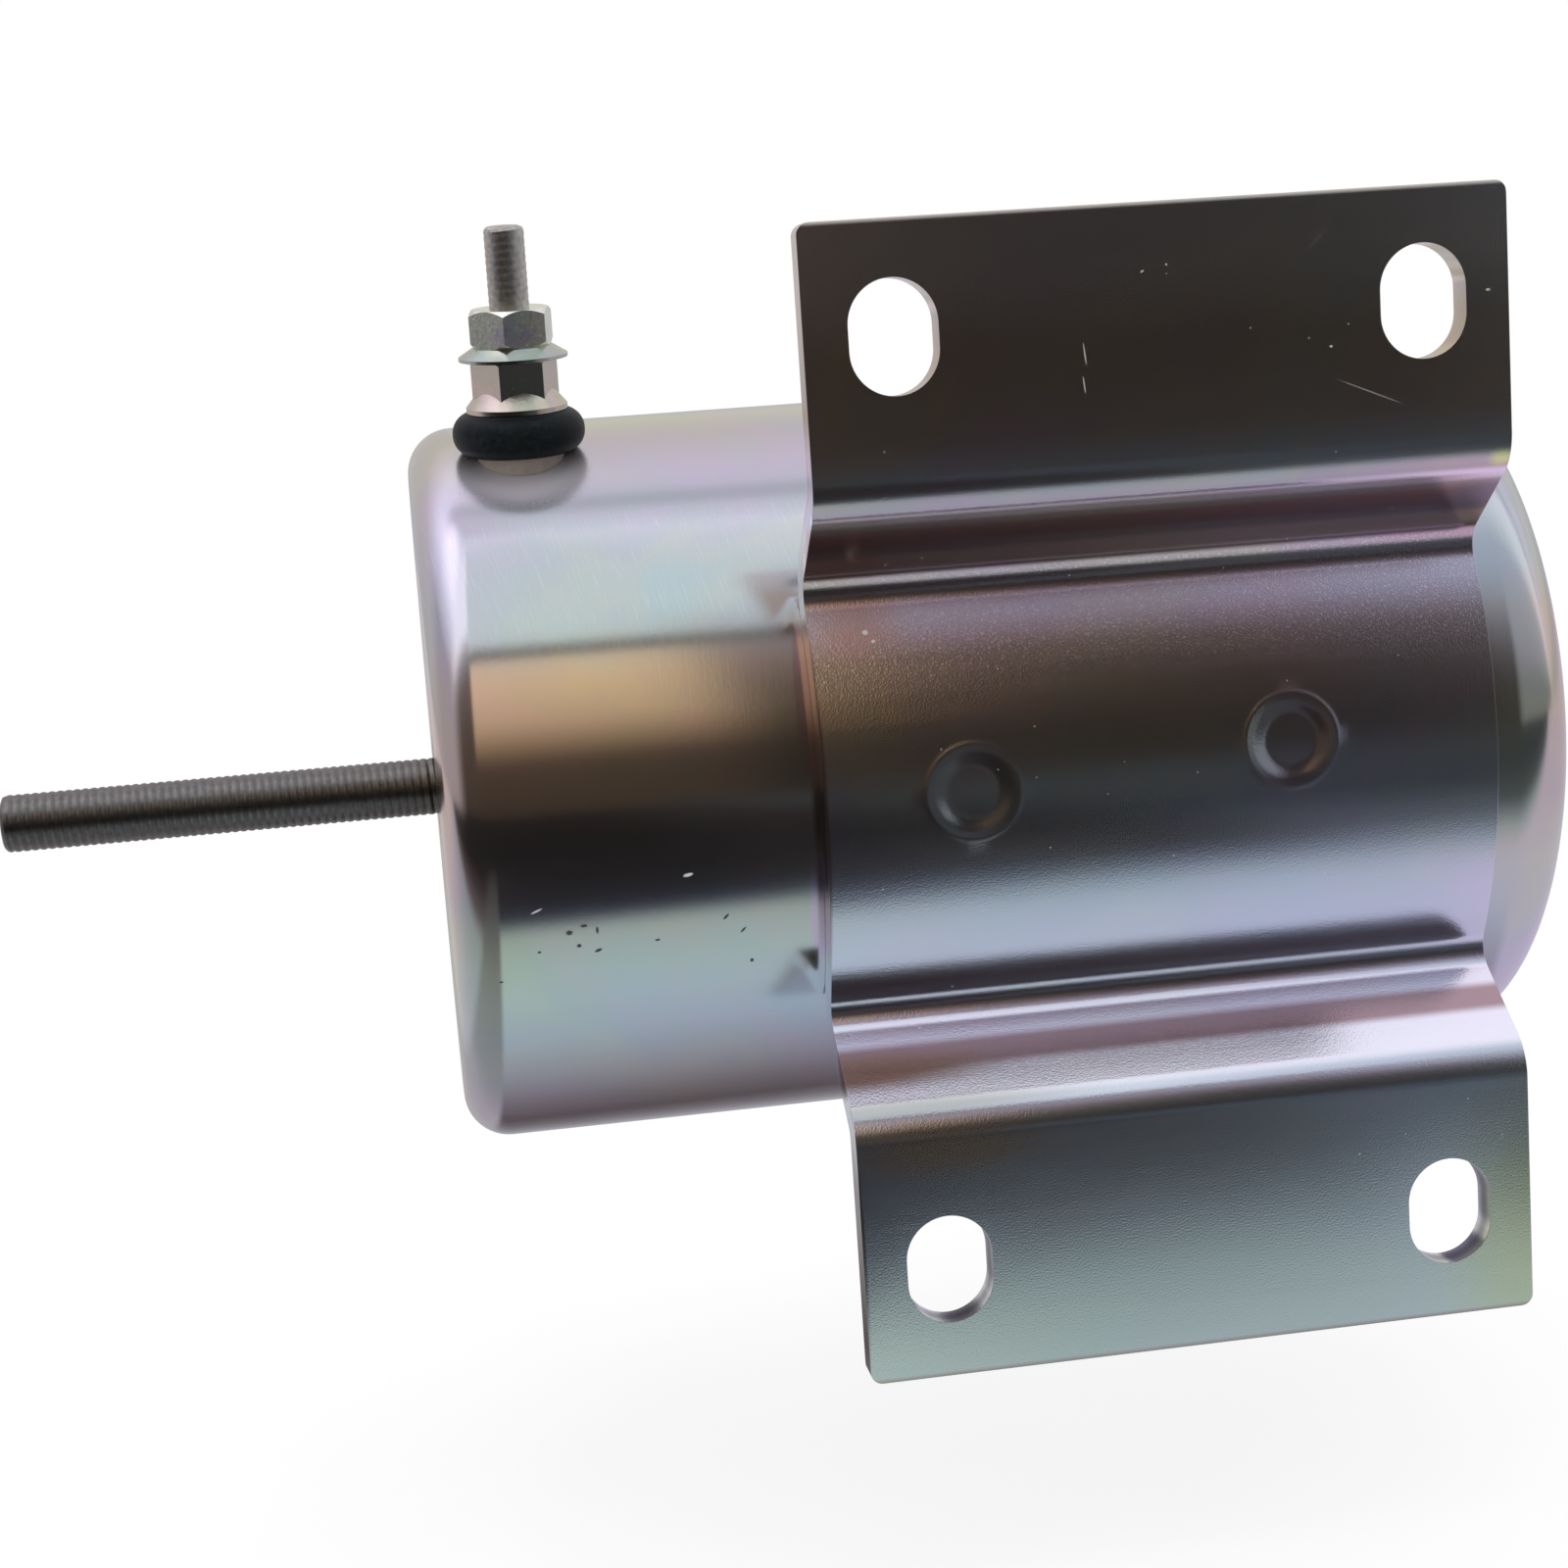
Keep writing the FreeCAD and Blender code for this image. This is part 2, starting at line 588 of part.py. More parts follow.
def make_bracket():
    """The folded bracket: one sheet with four bends, four slots and two weld dimples."""
    body = new_body("bracket_body")
    section = bracket_section(body)
    doc.recompute()
    sheet_pad = body.newObject("PartDesign::Pad", "bracket_sheet")
    sheet_pad.Profile = section
    bind(sheet_pad, Length="bracket_width")
    body.Tip = sheet_pad
    slots = new_sketch(body, "slots", "XZ_Plane")
    for column in (-1, 1):
        for line in (-1, 1):
            slot_outline(slots, column, line)
    pocket = body.newObject("PartDesign::Pocket", "bracket_slots")
    pocket.Profile = slots
    pocket.Type = "ThroughAll"
    pocket.Midplane = True
    body.Tip = pocket
    doc.recompute()
    corners = [section.getPoint(index, end) for index in (1, 3, 6, 8) for end in (1, 2)]
    front_folds = [(p.x, p.y) for p in corners if abs(p.x) < 1e-6]
    back_folds = [(p.x, p.y) for p in corners if abs(p.x - SIZES["sheet_thickness"]) < 1e-6]
    front_saddle = [(section.getPoint(1, 2).x, sign * section.getPoint(1, 2).y) for sign in (-1, 1)]
    back_saddle = [(section.getPoint(6, 2).x, sign * section.getPoint(6, 2).y) for sign in (-1, 1)]
    for name, radius, places in (
        ("outer_folds", "bend_radius + sheet_thickness", front_folds),
        ("inner_folds", "bend_radius", back_folds),
        ("saddle_front", "bend_radius", front_saddle),
        ("saddle_back", "bend_radius + sheet_thickness", back_saddle),
    ):
        round_off(body, name, radius, fold_edges(body.Tip.Shape, places))
        doc.recompute()
    width, half = SIZES["bracket_width"], bracket_half_height()
    corner_edges = []
    for number, edge in enumerate(body.Tip.Shape.Edges, start=1):
        ends = [vertex.Point for vertex in edge.Vertexes]
        if len(ends) == 2 and all(abs(abs(p.z) - half) < 1e-4 for p in ends):
            if abs(ends[0].y - ends[1].y) > 1 and (ends[0].x < 1e-4 or ends[0].x > width - 1e-4):
                corner_edges.append(f"Edge{number}")
    round_off(body, "corners", "flange_corner", corner_edges)
    put(body, "bracket_front")
    dimples = []
    for place, station, rise in (
        ("front", "bracket_front + front_dimple_inset", "front_dimple_rise"),
        ("rear", "bracket_front + bracket_width - rear_dimple_inset", "rear_dimple_rise"),
    ):
        dimple = doc.addObject("Part::Cone", f"dimple_{place}")
        bind(dimple, Radius1="dimple_floor / 2", Radius2="dimple_mouth / 2", Height="dimple_depth")
        dimples.append(put(dimple, station, "crown_depth + dimple_depth", rise, FreeCAD.Rotation(X_AXIS, 90)))
    pressed = cut("bracket", body, *dimples)
    doc.recompute()
    rims = []
    lip = SIZES["dimple_lip"]
    deepest = SIZES["crown_depth"] + SIZES["dimple_depth"] + lip
    for number, edge in enumerate(pressed.Shape.Edges, start=1):
        box = edge.BoundBox
        as_wide = SIZES["dimple_floor"] - lip < box.XLength < SIZES["dimple_mouth"] + lip
        if as_wide and abs(box.XLength - box.ZLength) < lip and box.YMax < deepest:
            rims.append((number, lip, lip))
    finished = doc.addObject("Part::Fillet", "bracket_dimple_rims")
    finished.Base = pressed
    finished.Edges = rims
    sub_part(finished, "mounting_bracket")


def make_front_end():
    """Bushing in the front wall, wiper in its mouth and the bumper that the plunger rests on."""
    bore = "rod_r + rod_play"
    flange_back = "case_wall + bushing_flange_thickness"
    recess = "wiper_recess + wiper_thickness"
    bushing = turned("bushing", [
        ("0", "wiper_diameter / 2"), ("0", "bushing_bore / 2 - case_fit"),
        ("case_wall", "bushing_bore / 2 - case_fit"), ("case_wall", "bushing_flange / 2"),
        (flange_back, "bushing_flange / 2"), (flange_back, bore), (recess, bore),
        (recess, "wiper_diameter / 2"),
    ])
    sub_part(on_axis(bushing, "case_front"), "front_bushing")
    wiper = ring("wiper", "wiper_thickness", bore, "wiper_diameter / 2 - case_fit")
    sub_part(on_axis(wiper, "case_front + wiper_recess"), "wiper_seal")
    bumper = ring("bumper", "bumper_thickness", "rod_r + plunger_play", "bumper_diameter / 2")
    sub_part(on_axis(bumper, "plunger_front - bumper_thickness"), "stop_bumper")


def make_plunger():
    """Threaded rod, steel plunger, the seat washer in its bore and the return spring."""
    length = "rod_reach + plunger_front + rod_grip - case_front"
    thread_end = "rod_reach - thread_gap"
    rod = turned("rod", [
        ("0", "0"), ("0", "rod_r - rod_chamfer"), ("rod_chamfer", "rod_r"), (thread_end, "rod_r"),
        (thread_end, "rod_shank / 2"), (length, "rod_shank / 2"), (length, "0"),
    ])
    sub_part(on_axis(rod, "case_front - rod_reach"), "plunger_rod")
    chamfer, back = "plunger_chamfer", "plunger_length"
    plunger = turned("plunger", [
        ("0", "rod_shank / 2"), ("0", f"plunger_r - {chamfer}"), (chamfer, "plunger_r"),
        (f"{back} - {chamfer}", "plunger_r"), (back, f"plunger_r - {chamfer}"), (back, "plunger_bore / 2"),
        (f"{back} - plunger_bore_depth", "plunger_bore / 2"), (f"{back} - plunger_bore_depth", "0"),
        ("rod_grip", "0"), ("rod_grip", "rod_shank / 2"),
    ])
    sub_part(on_axis(plunger, "plunger_front"), "plunger_core")
    seat = ring("seat", "seat_thickness", "pin_diameter / 2 + 2 * seat_play", "plunger_bore / 2 - seat_play")
    sub_part(on_axis(seat, "plunger_bore_floor"), "spring_seat")
    spring = coil_spring("return", "(plunger_bore - 2 * spring_play)", "spring_wire", "spring_turns",
                         "core_bore_floor - seat_back")
    sub_part(on_axis(spring, "seat_back + spring_wire / 2 + winding_gap", ALONG_X), "return_spring")


def coil_spring(name, diameter, wire, turns, space):
    """Makes a coil spring along its own Z that fills a space between two faces. Its wire has six sides."""
    path = doc.addObject("Part::Helix", f"{name}_spring_path")
    height = f"({space} - {wire} - 2 * winding_gap)"
    bind(path, Radius=f"({diameter} - {wire}) / 2", Height=height, Pitch=f"{height} / {turns}")
    path.SegmentLength = 1
    section = doc.addObject("Part::RegularPolygon", f"{name}_spring_wire")
    section.Polygon = 6
    bind(section, Circumradius=f"{wire} / 2")
    put(section, f"({diameter} - {wire}) / 2", "0", "0", FreeCAD.Rotation(X_AXIS, 90))
    spring = doc.addObject("Part::Sweep", f"{name}_spring")
    spring.Sections = [section]
    spring.Spine = (path, [])
    spring.Solid = True
    spring.Frenet = True
    return spring


def make_magnetic_frame():
    """Spacer, pole plates, guide tube and fixed core."""
    spacer_start = "case_corner - case_wall + wall_play"
    length = f"chamber_length - ({spacer_start})"
    spacer = on_axis(ring("spacer", length, "plate_r - spacer_wall", "plate_r"),
                     f"chamber_front + {spacer_start}")
    window = cylinder("spacer_terminal_window", "spacer_window / 2", "case_diameter / 4")
    on_terminal(window, "-case_diameter / 8", UP_TERMINAL)
    sub_part(cut("spacer", spacer, window), "spacer_ring")
    plate = on_axis(ring("front_pole", "front_plate_thickness", "tube_outer_r + case_fit", "plate_r"),
                    "front_plate_front")
    strap_hole = cylinder("front_pole_strap_hole", "strap_hole / 2", "front_plate_thickness")
    strap_middle = "(strap_level + strap_thickness / 2)"
    put(strap_hole, "front_plate_front", f"terminal_y - {strap_middle} * sin(terminal_tilt)",
        f"terminal_z + {strap_middle} * cos(terminal_tilt)", ALONG_X)
    sub_part(cut("front_pole", plate, strap_hole), "front_plate")
    tube_length = "front_plate_thickness + bobbin_length"
    tube = on_axis(ring("tube", tube_length, "tube_inner_r", "tube_outer_r"), "front_plate_front")
    sub_part(tube, "guide_tube")
    plate = on_axis(ring("rear_pole", "rear_plate_thickness", "core_spigot / 2 + case_fit", "plate_r"),
                    "rear_plate_front")
    holes, depth = [], "rear_plate_thickness"
    for side in (-1, 1):
        tail_hole = cylinder(f"rear_pole_tail_hole_{side + 1}", "tail_boss / 2 + boss_play", depth)
        holes.append(put(tail_hole, "rear_plate_front", "axis_depth", f"{side} * tail_reach", ALONG_X))
        screw_hole = cylinder(f"rear_pole_screw_hole_{side + 1}", "screw_diameter / 2", depth)
        holes.append(put(screw_hole, "rear_plate_front", f"axis_depth + {side} * screw_reach", "0", ALONG_X))
    sub_part(cut("rear_pole", plate, *holes), "rear_plate")
    shoulder, bore = "rear_plate_front - core_front", "pin_diameter / 2 + pin_play"
    spigot_end = f"{shoulder} + rear_plate_thickness"
    core = turned("core", [
        ("0", "plunger_bore / 2"), ("0", "plunger_r"), (shoulder, "plunger_r"),
        (shoulder, "core_spigot / 2"), (spigot_end, "core_spigot / 2"), (spigot_end, bore),
        ("core_bore_depth", bore), ("core_bore_depth", "plunger_bore / 2"),
    ])
    sub_part(on_axis(core, "core_front"), "fixed_core")


def make_coil():
    """Bobbin, the two windings and the wrap over them."""
    outer, flange, length = "bobbin_r", "bobbin_flange", "bobbin_length"
    bobbin = turned("bobbin_body", [
        ("0", "bobbin_bore_r"), ("0", outer), (flange, outer), (flange, "bobbin_tube_r"),
        (f"{length} - {flange}", "bobbin_tube_r"), (f"{length} - {flange}", outer), (length, outer),
        (length, "bobbin_bore_r"),
    ])
    sub_part(on_axis(bobbin, "bobbin_front"), "bobbin")
    layers = (
        ("hold_in_winding", "winding_foot_r", "hold_in_r"),
        ("pull_in_winding", "hold_in_r + winding_gap", "pull_in_r"),
        ("winding_wrap", "pull_in_r + winding_gap", "pull_in_r + winding_gap + wrap_thickness"),
    )
    for label, inner, outer in layers:
        layer = ring(f"{label}_body", "winding_length", inner, outer)
        sub_part(on_axis(layer, "bobbin_front + bobbin_flange + winding_gap"), label)


def make_switch():
    """Cut-out switch: base, two fixed contacts, moving blade on its pin, spring, yoke and two screws."""
    base = on_axis(ring("base", "switch_base_thickness", "switch_opening / 2", "switch_base_diameter / 2"),
                   "rear_plate_back")
    bosses, holes = [], []
    depth = "rear_plate_thickness + switch_base_thickness"
    for side in (-1, 1):
        number = side + 1
        boss = cylinder(f"base_boss_{number}", "tail_boss / 2", "rear_plate_thickness - boss_play")
        reach = f"{side} * tail_reach"
        bosses.append(put(boss, "rear_plate_front + boss_play", "axis_depth", reach, ALONG_X))
        tail_hole = cylinder(f"base_tail_hole_{number}", "tail_diameter / 2 + case_fit", depth)
        holes.append(put(tail_hole, "rear_plate_front", "axis_depth", reach, ALONG_X))
        screw_hole = cylinder(f"base_screw_hole_{number}", "screw_diameter / 2 + boss_play", depth)
        holes.append(put(screw_hole, "rear_plate_back", f"axis_depth + {side} * screw_reach", "0", ALONG_X))
    sub_part(cut("base", join("base", base, *bosses), *holes), "switch_base")
    for side, label in ((1, "upper_contact"), (-1, "lower_contact")):
        strip = block(f"{label}_strip", "contact_thickness", "contact_width", "contact_length")
        low = "contact_inner" if side > 0 else "-contact_inner - contact_length"
        put(strip, "base_back", "axis_depth - contact_width / 2", low)
        tail = cylinder(f"{label}_tail", "tail_diameter / 2", f"{depth} - boss_play")
        put(tail, "rear_plate_front + boss_play", "axis_depth", f"{side} * tail_reach", ALONG_X)
        sub_part(join(label, strip, tail), label)
    blade = block("blade", "blade_thickness", "blade_width", "blade_length")
    put(blade, "blade_front", "axis_depth - blade_width / 2", "-blade_length / 2")
    blade_hole = cylinder("blade_hole", "pin_diameter / 2", "blade_thickness")
    sub_part(cut("blade", blade, on_axis(blade_hole, "blade_front", ALONG_X)), "contact_bridge")
    collar_back = "blade_front - pin_front"
    collar_front = f"{collar_back} - collar_thickness"
    length = "blade_back + pin_tail - pin_front"
    pin_r, collar_r = "pin_diameter / 2", "pin_collar / 2"
    pin = turned("pin", [
        ("0", "0"), ("0", pin_r), (collar_front, pin_r), (collar_front, collar_r),
        (collar_back, collar_r), (collar_back, pin_r), (length, pin_r), (length, "0"),
    ])
    sub_part(on_axis(pin, "pin_front"), "switch_pin")
    spring = coil_spring("switch", "switch_spring_diameter", "switch_spring_wire", "switch_spring_turns",
                         "yoke_face - blade_back")
    sub_part(on_axis(spring, "blade_back + switch_spring_wire / 2 + winding_gap", ALONG_X), "switch_spring")
    make_yoke()
    screws = []
    for side in (-1, 1):
        head_front = "screw_length"
        screw = turned(f"screw_{side + 1}", [
            ("0", "0"), ("0", "screw_diameter / 2"), (head_front, "screw_diameter / 2"),
            (head_front, "screw_head / 2"), (f"{head_front} + screw_head_height", "screw_head / 2"),
            (f"{head_front} + screw_head_height", "0"),
        ])
        screws.append(put(screw, "base_back + yoke_thickness - screw_length",
                          f"axis_depth + {side} * screw_reach", "0"))
    pair = doc.addObject("Part::Compound", "screw_pair")
    pair.Links = screws
    sub_part(pair, "switch_screws")


def make_yoke():
    """The bent strap that carries the switch spring: two feet, two legs and a bar across the axis."""
    body = new_body("yoke_body")
    half, foot, thick, rise = "yoke_half", "yoke_foot", "yoke_thickness", "yoke_height"
    tip = f"{half} + {foot}"
    sketch = outline(body, "section", "XY_Plane", [
        ("0", f"-({tip})"), (thick, f"-({tip})"), (thick, f"-{half}"), (f"{rise} + {thick}", f"-{half}"),
        (f"{rise} + {thick}", half), (thick, half), (thick, tip), ("0", tip), ("0", f"{half} - {thick}"),
        (rise, f"{half} - {thick}"), (rise, f"{thick} - {half}"), ("0", f"{thick} - {half}"),
    ])
    pad = body.newObject("PartDesign::Pad", "yoke_pad")
    pad.Profile = sketch
    pad.Midplane = True
    bind(pad, Length="yoke_width")
    body.Tip = pad
    on_axis(body, "base_back")
    holes = []
    for side in (-1, 1):
        hole = cylinder(f"yoke_screw_hole_{side + 1}", "screw_diameter / 2 + boss_play", "yoke_thickness")
        holes.append(put(hole, "base_back", f"axis_depth + {side} * screw_reach", "0", ALONG_X))
    sub_part(cut("yoke", body, *holes), "switch_yoke")


def hex_blank(name, height, turn, level):
    """Makes a chamfered hexagon with the stud's hole, standing on the terminal's axis."""
    prism = doc.addObject("Part::Prism", f"{name}_hexagon")
    prism.Polygon = 6
    bind(prism, Circumradius="hex_corner_r", Height=height)
    on_terminal(prism, level, UP_TERMINAL.multiply(FreeCAD.Rotation(Z_AXIS, turn)))
    blank = turned(f"{name}_blank", [
        ("0", "shank_r"), ("0", "nut_flats / 2"), ("nut_chamfer", "hex_corner_r"),
        (f"{height} - nut_chamfer", "hex_corner_r"), (height, "nut_flats / 2"), (height, "shank_r"),
    ])
    return overlap(name, prism, on_terminal(blank, level))


def make_terminal():
    """Stud, insulators, seal, nuts, washer and the strap that leads to the coil."""
    length, thread_start = "stud_rise + stud_drop", "stud_drop + top_nut_top"
    stud = turned("stud", [
        ("0", "0"), ("0", "shank_r - stud_chamfer"), ("stud_chamfer", "shank_r"),
        (thread_start, "shank_r"), (thread_start, "stud_r"),
        (f"{length} - stud_chamfer", "stud_r"), (length, "stud_r - stud_chamfer"), (length, "0"),
    ])
    sub_part(on_terminal(stud, "-stud_drop"), "terminal_stud")
    hole = "stud_r + stud_play"
    shank_drop = "case_wall"
    blank = on_terminal(turned("bush_blank", [
        ("0", hole), ("0", "bush_diameter / 2"), ("bush_rise + case_wall * 2", "bush_diameter / 2"),
        ("bush_rise + case_wall * 2", hole),
    ]), "-case_wall * 2")
    shank = on_terminal(ring("bush_shank_body", f"{shank_drop} + bush_rise", hole, "bush_shank / 2"),
                        f"-{shank_drop}")
    flange = cut("bush_flange", blank, case_envelope("bush_seat", "case_r + case_fit"))
    sub_part(join("bush", flange, shank), "terminal_bush")
    seal_body = new_body("seal_body")
    revolve(seal_body, outline(seal_body, "section", "XY_Plane", [
        ("0", hole), ("0", "seal_diameter / 2"), ("seal_height", "seal_diameter / 2"), ("seal_height", hole),
    ]))
    doc.recompute()
    radius = SIZES["seal_diameter"] / 2
    rims = circles(seal_body.Tip.Shape, (0, radius), (SIZES["seal_height"], radius))
    round_off(seal_body, "rims", "seal_round", rims)
    on_terminal(seal_body, "bush_rise")
    sub_part(cut("seal", seal_body, case_envelope("seal_seat", "case_r + case_fit")), "terminal_seal")
    flare = turned("flange_nut_flare_body", [
        ("0", "shank_r"), ("0", "flange_nut_flange / 2"), ("flange_nut_rim", "flange_nut_flange / 2"),
        ("flange_nut_flare", "nut_flats / 2"), ("flange_nut_flare", "shank_r"),
    ])
    hexagon = hex_blank("flange_nut", "flange_nut_height", SIZES["flange_nut_turn"], "seal_top")
    sub_part(join("flange_nut", hexagon, on_terminal(flare, "seal_top")), "terminal_flange_nut")
    rim = "washer_diameter / 2"
    washer = turned("washer", [
        ("0", rim), ("washer_rim", rim), ("washer_height", "washer_crown / 2"), ("washer_height", hole),
        ("washer_lap", hole), ("washer_lap", "washer_crown / 2"),
    ])
    sub_part(on_terminal(washer, "flange_nut_top - washer_lap"), "terminal_washer")
    top_nut = hex_blank("top_nut", "top_nut_height", SIZES["top_nut_turn"], "washer_top")
    sub_part(top_nut, "terminal_nut")
    inner_blank = on_terminal(ring("inner_bush_blank", "inner_bush_drop", hole, "bush_diameter / 2"),
                              "-inner_bush_drop")
    inner_wall = case_envelope("inner_bush_wall", "inner_r - case_fit")
    clear = on_terminal(cylinder("inner_bush_shank_room", "bush_shank / 2", "case_wall + wall_play"),
                        "-case_wall - wall_play", UP_TERMINAL)
    sub_part(cut("inner_bush", overlap("inner_bush", inner_blank, inner_wall), clear), "inner_insulator")
    eye = cylinder("strap_eye_disc", "strap_eye / 2", "strap_thickness")
    on_terminal(eye, "strap_level", UP_TERMINAL)
    tongue = block("strap_tongue", "bobbin_front - terminal_x - case_fit", "strap_width", "strap_thickness")
    put(tongue, "terminal_x",
        "terminal_y - strap_level * sin(terminal_tilt) - strap_width / 2 * cos(terminal_tilt)",
        "terminal_z + strap_level * cos(terminal_tilt) - strap_width / 2 * sin(terminal_tilt)", UP_TERMINAL)
    strap_bore = on_terminal(cylinder("strap_bore", hole, "strap_thickness"), "strap_level", UP_TERMINAL)
    sub_part(cut("strap", join("strap", eye, tongue), strap_bore), "lead_strap")
    sub_part(hex_blank("inner_nut", "inner_nut_height", 0, "strap_level - inner_nut_height"), "inner_nut")


def check_and_write():
    """Stops on any failed object or bad shape, and writes each piece to its own file."""
    doc.recompute()
    failed = [item.Name for item in doc.Objects if {"Invalid", "Error"} & set(item.State)]
    bad = [item.Label for item in PARTS if item.Shape.isNull() or not item.Shape.isValid()]
    if failed or bad:
        raise RuntimeError(f"objects that failed: {failed}, pieces without a sound shape: {bad}")
    os.makedirs("parts", exist_ok=True)
    for item in PARTS:
        item.Shape.exportStep(f"parts/{item.Label}.step")
        print(f"{item.Label}: {len(item.Shape.Solids)} solid, {item.Shape.Volume:.1f} mm3")


make_case()
make_rear_cover()
make_bracket()
make_front_end()
make_plunger()
make_magnetic_frame()
make_coil()
make_switch()
make_terminal()
check_and_write()
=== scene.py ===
"""Looks of a fuel shutoff solenoid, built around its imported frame.

Lengths are metres in the part's own frame: X along the rod, the bracket's mounting face in Y = 0
facing -Y, Z up.
"""

import json
import logging
import math
from dataclasses import dataclass, field
from enum import Enum

import bmesh
import bpy
from mathutils import Matrix, Vector


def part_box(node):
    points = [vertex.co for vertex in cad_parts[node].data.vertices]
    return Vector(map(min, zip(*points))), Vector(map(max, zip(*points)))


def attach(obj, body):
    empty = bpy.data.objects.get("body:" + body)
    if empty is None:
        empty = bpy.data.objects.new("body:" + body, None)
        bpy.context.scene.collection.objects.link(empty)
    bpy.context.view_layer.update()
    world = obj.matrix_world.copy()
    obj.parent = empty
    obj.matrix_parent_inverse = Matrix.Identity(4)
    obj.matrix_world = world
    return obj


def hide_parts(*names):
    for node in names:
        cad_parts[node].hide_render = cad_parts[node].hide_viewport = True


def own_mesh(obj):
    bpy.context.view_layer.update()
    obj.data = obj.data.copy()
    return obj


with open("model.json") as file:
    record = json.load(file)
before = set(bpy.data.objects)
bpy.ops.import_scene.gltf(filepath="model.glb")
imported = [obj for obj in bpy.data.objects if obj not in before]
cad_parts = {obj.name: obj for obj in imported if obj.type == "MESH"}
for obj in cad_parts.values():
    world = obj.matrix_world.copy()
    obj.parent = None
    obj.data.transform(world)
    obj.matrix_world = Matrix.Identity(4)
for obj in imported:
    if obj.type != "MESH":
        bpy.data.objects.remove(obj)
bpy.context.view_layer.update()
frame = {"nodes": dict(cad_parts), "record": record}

MM = 0.001
X_AXIS = Vector((1, 0, 0))
Y_AXIS = Vector((0, 1, 0))
Z_AXIS = Vector((0, 0, 1))
WELD = 1e-6  # points that lie closer than this are one

log = logging.getLogger("solenoid")

BMesh = bmesh.types.BMesh
Socket = bpy.types.NodeSocket
Span = tuple[float, float]
Triple = tuple[float, float, float]
Colour = Triple
Stops = tuple[tuple[float, Colour], ...]

WHITE: Colour = (1.0, 1.0, 1.0)
PALE: Colour = (0.80, 0.80, 0.78)
DIRT: Colour = (0.05, 0.06, 0.06)
FLECK_DEPTH = 1.5  # how far a scratch or a speck reaches along Y, in millimetres


class Body(Enum):
    """The bodies that the pieces ride on."""

    ROOT = "root"
    PLUNGER = "plunger"


class Slot(Enum):
    """The record's finishes, named for the new pieces."""

    CASE = "case_plating"
    BRACKET = "bracket_plating"
    ROD = "rod_steel"
    FASTENER = "fastener_plating"
    SPRING = "spring_steel"


def box_of(node: str) -> tuple[Vector, Vector]:
    """Reads the lowest and highest corners of a CAD node, in metres."""
    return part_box(node)


def mount(name: str) -> dict:
    """Finds a mount of the record by its name."""
    return next(item for item in frame["record"]["mounts"] if item["name"] == name)


AXIS_Y = mount("plunger_thread")["pos_m"][1]


class NodeSheet:
    """A node tree in the making."""

    def __init__(self, tree: bpy.types.NodeTree) -> None:
        """Takes up a node tree."""
        self.tree = tree

    def add(self, kind: str, inputs: dict | None = None, **settings: object) -> bpy.types.Node:
        """Adds a node.

        Args:
            kind: the node's type.
            inputs: what its inputs are fed, by their names or numbers.
            settings: properties to set on it.

        Returns:
            The node.
        """
        node = self.tree.nodes.new(kind)
        for name, value in settings.items():
            setattr(node, name, value)
        for name, value in (inputs or {}).items():
            self.feed(node.inputs[name], value)
        return node

    def feed(self, socket: Socket, value: object) -> None:
        """Links a socket or sets a value on it.

        Args:
            socket: the input.
            value: an output socket, or a plain value.
        """
        if isinstance(value, Socket):
            self.tree.links.new(value, socket)
        elif socket.type == "RGBA" and len(value) == 3:
            socket.default_value = (*value, 1.0)
        else:
            socket.default_value = value

    def math(self, operation: str, *values: object) -> Socket:
        """Adds a math node with its inputs in order."""
        return self.add("ShaderNodeMath", dict(enumerate(values)), operation=operation).outputs[0]

    def spread(self, noise: object, middle: float, width: float) -> Socket:
        """Stretches a noise to a width about a middle value."""
        return self.math("MULTIPLY_ADD", noise, width, middle - width / 2)

    def turn(self, up: object, ahead: object) -> Socket:
        """Works out an angle as a share of a turn, which is 0.5 straight ahead."""
        return self.math("MULTIPLY_ADD", self.math("ARCTAN2", up, ahead), 0.5 / math.pi, 0.5)

    def axes(self, vector: Socket) -> tuple[Socket, ...]:
        """Splits a vector into its X, Y and Z."""
        return tuple(self.add("ShaderNodeSeparateXYZ", {0: vector}).outputs)

    def noise(self, vector: object, scale: float, detail: float = 3.0, roughness: float = 0.5,
              distortion: float = 0.0) -> Socket:
        """Adds a noise texture.

        Args:
            vector: where the noise is read.
            scale: its scale.
            detail: how many finer layers it has.
            roughness: how strong they are.
            distortion: how far it is warped.

        Returns:
            A number about 0.5.
        """
        return self.add("ShaderNodeTexNoise", {
            "Vector": vector, "Scale": scale, "Detail": detail, "Roughness": roughness,
            "Distortion": distortion,
        }).outputs["Fac"]

    def ramp(self, factor: object, stops: Stops) -> Socket:
        """Adds a colour ramp.

        Args:
            factor: the number that is looked up.
            stops: pairs of place and colour, in order.

        Returns:
            The colour.
        """
        node = self.add("ShaderNodeValToRGB", {0: factor})
        elements = node.color_ramp.elements
        while len(elements) < len(stops):
            elements.new(0.5)
        for element, (place, colour) in zip(elements, stops):
            element.position = place
            element.color = (*colour, 1.0)
        return node.outputs["Color"]

    def between(self, value: object, low: float, high: float) -> Socket:
        """Turns a stretch of a number, from low to high, smoothly into 0 to 1."""
        inputs = {"Value": value, "From Min": low, "From Max": high}
        return self.add("ShaderNodeMapRange", inputs, interpolation_type="SMOOTHSTEP").outputs[0]

    def mix(self, share: object, first: object, second: object, blend: str = "MIX") -> Socket:
        """Mixes two colours by the share of the second."""
        inputs = {0: share, 6: first, 7: second}
        return self.add("ShaderNodeMix", inputs, data_type="RGBA", blend_type=blend).outputs[2]


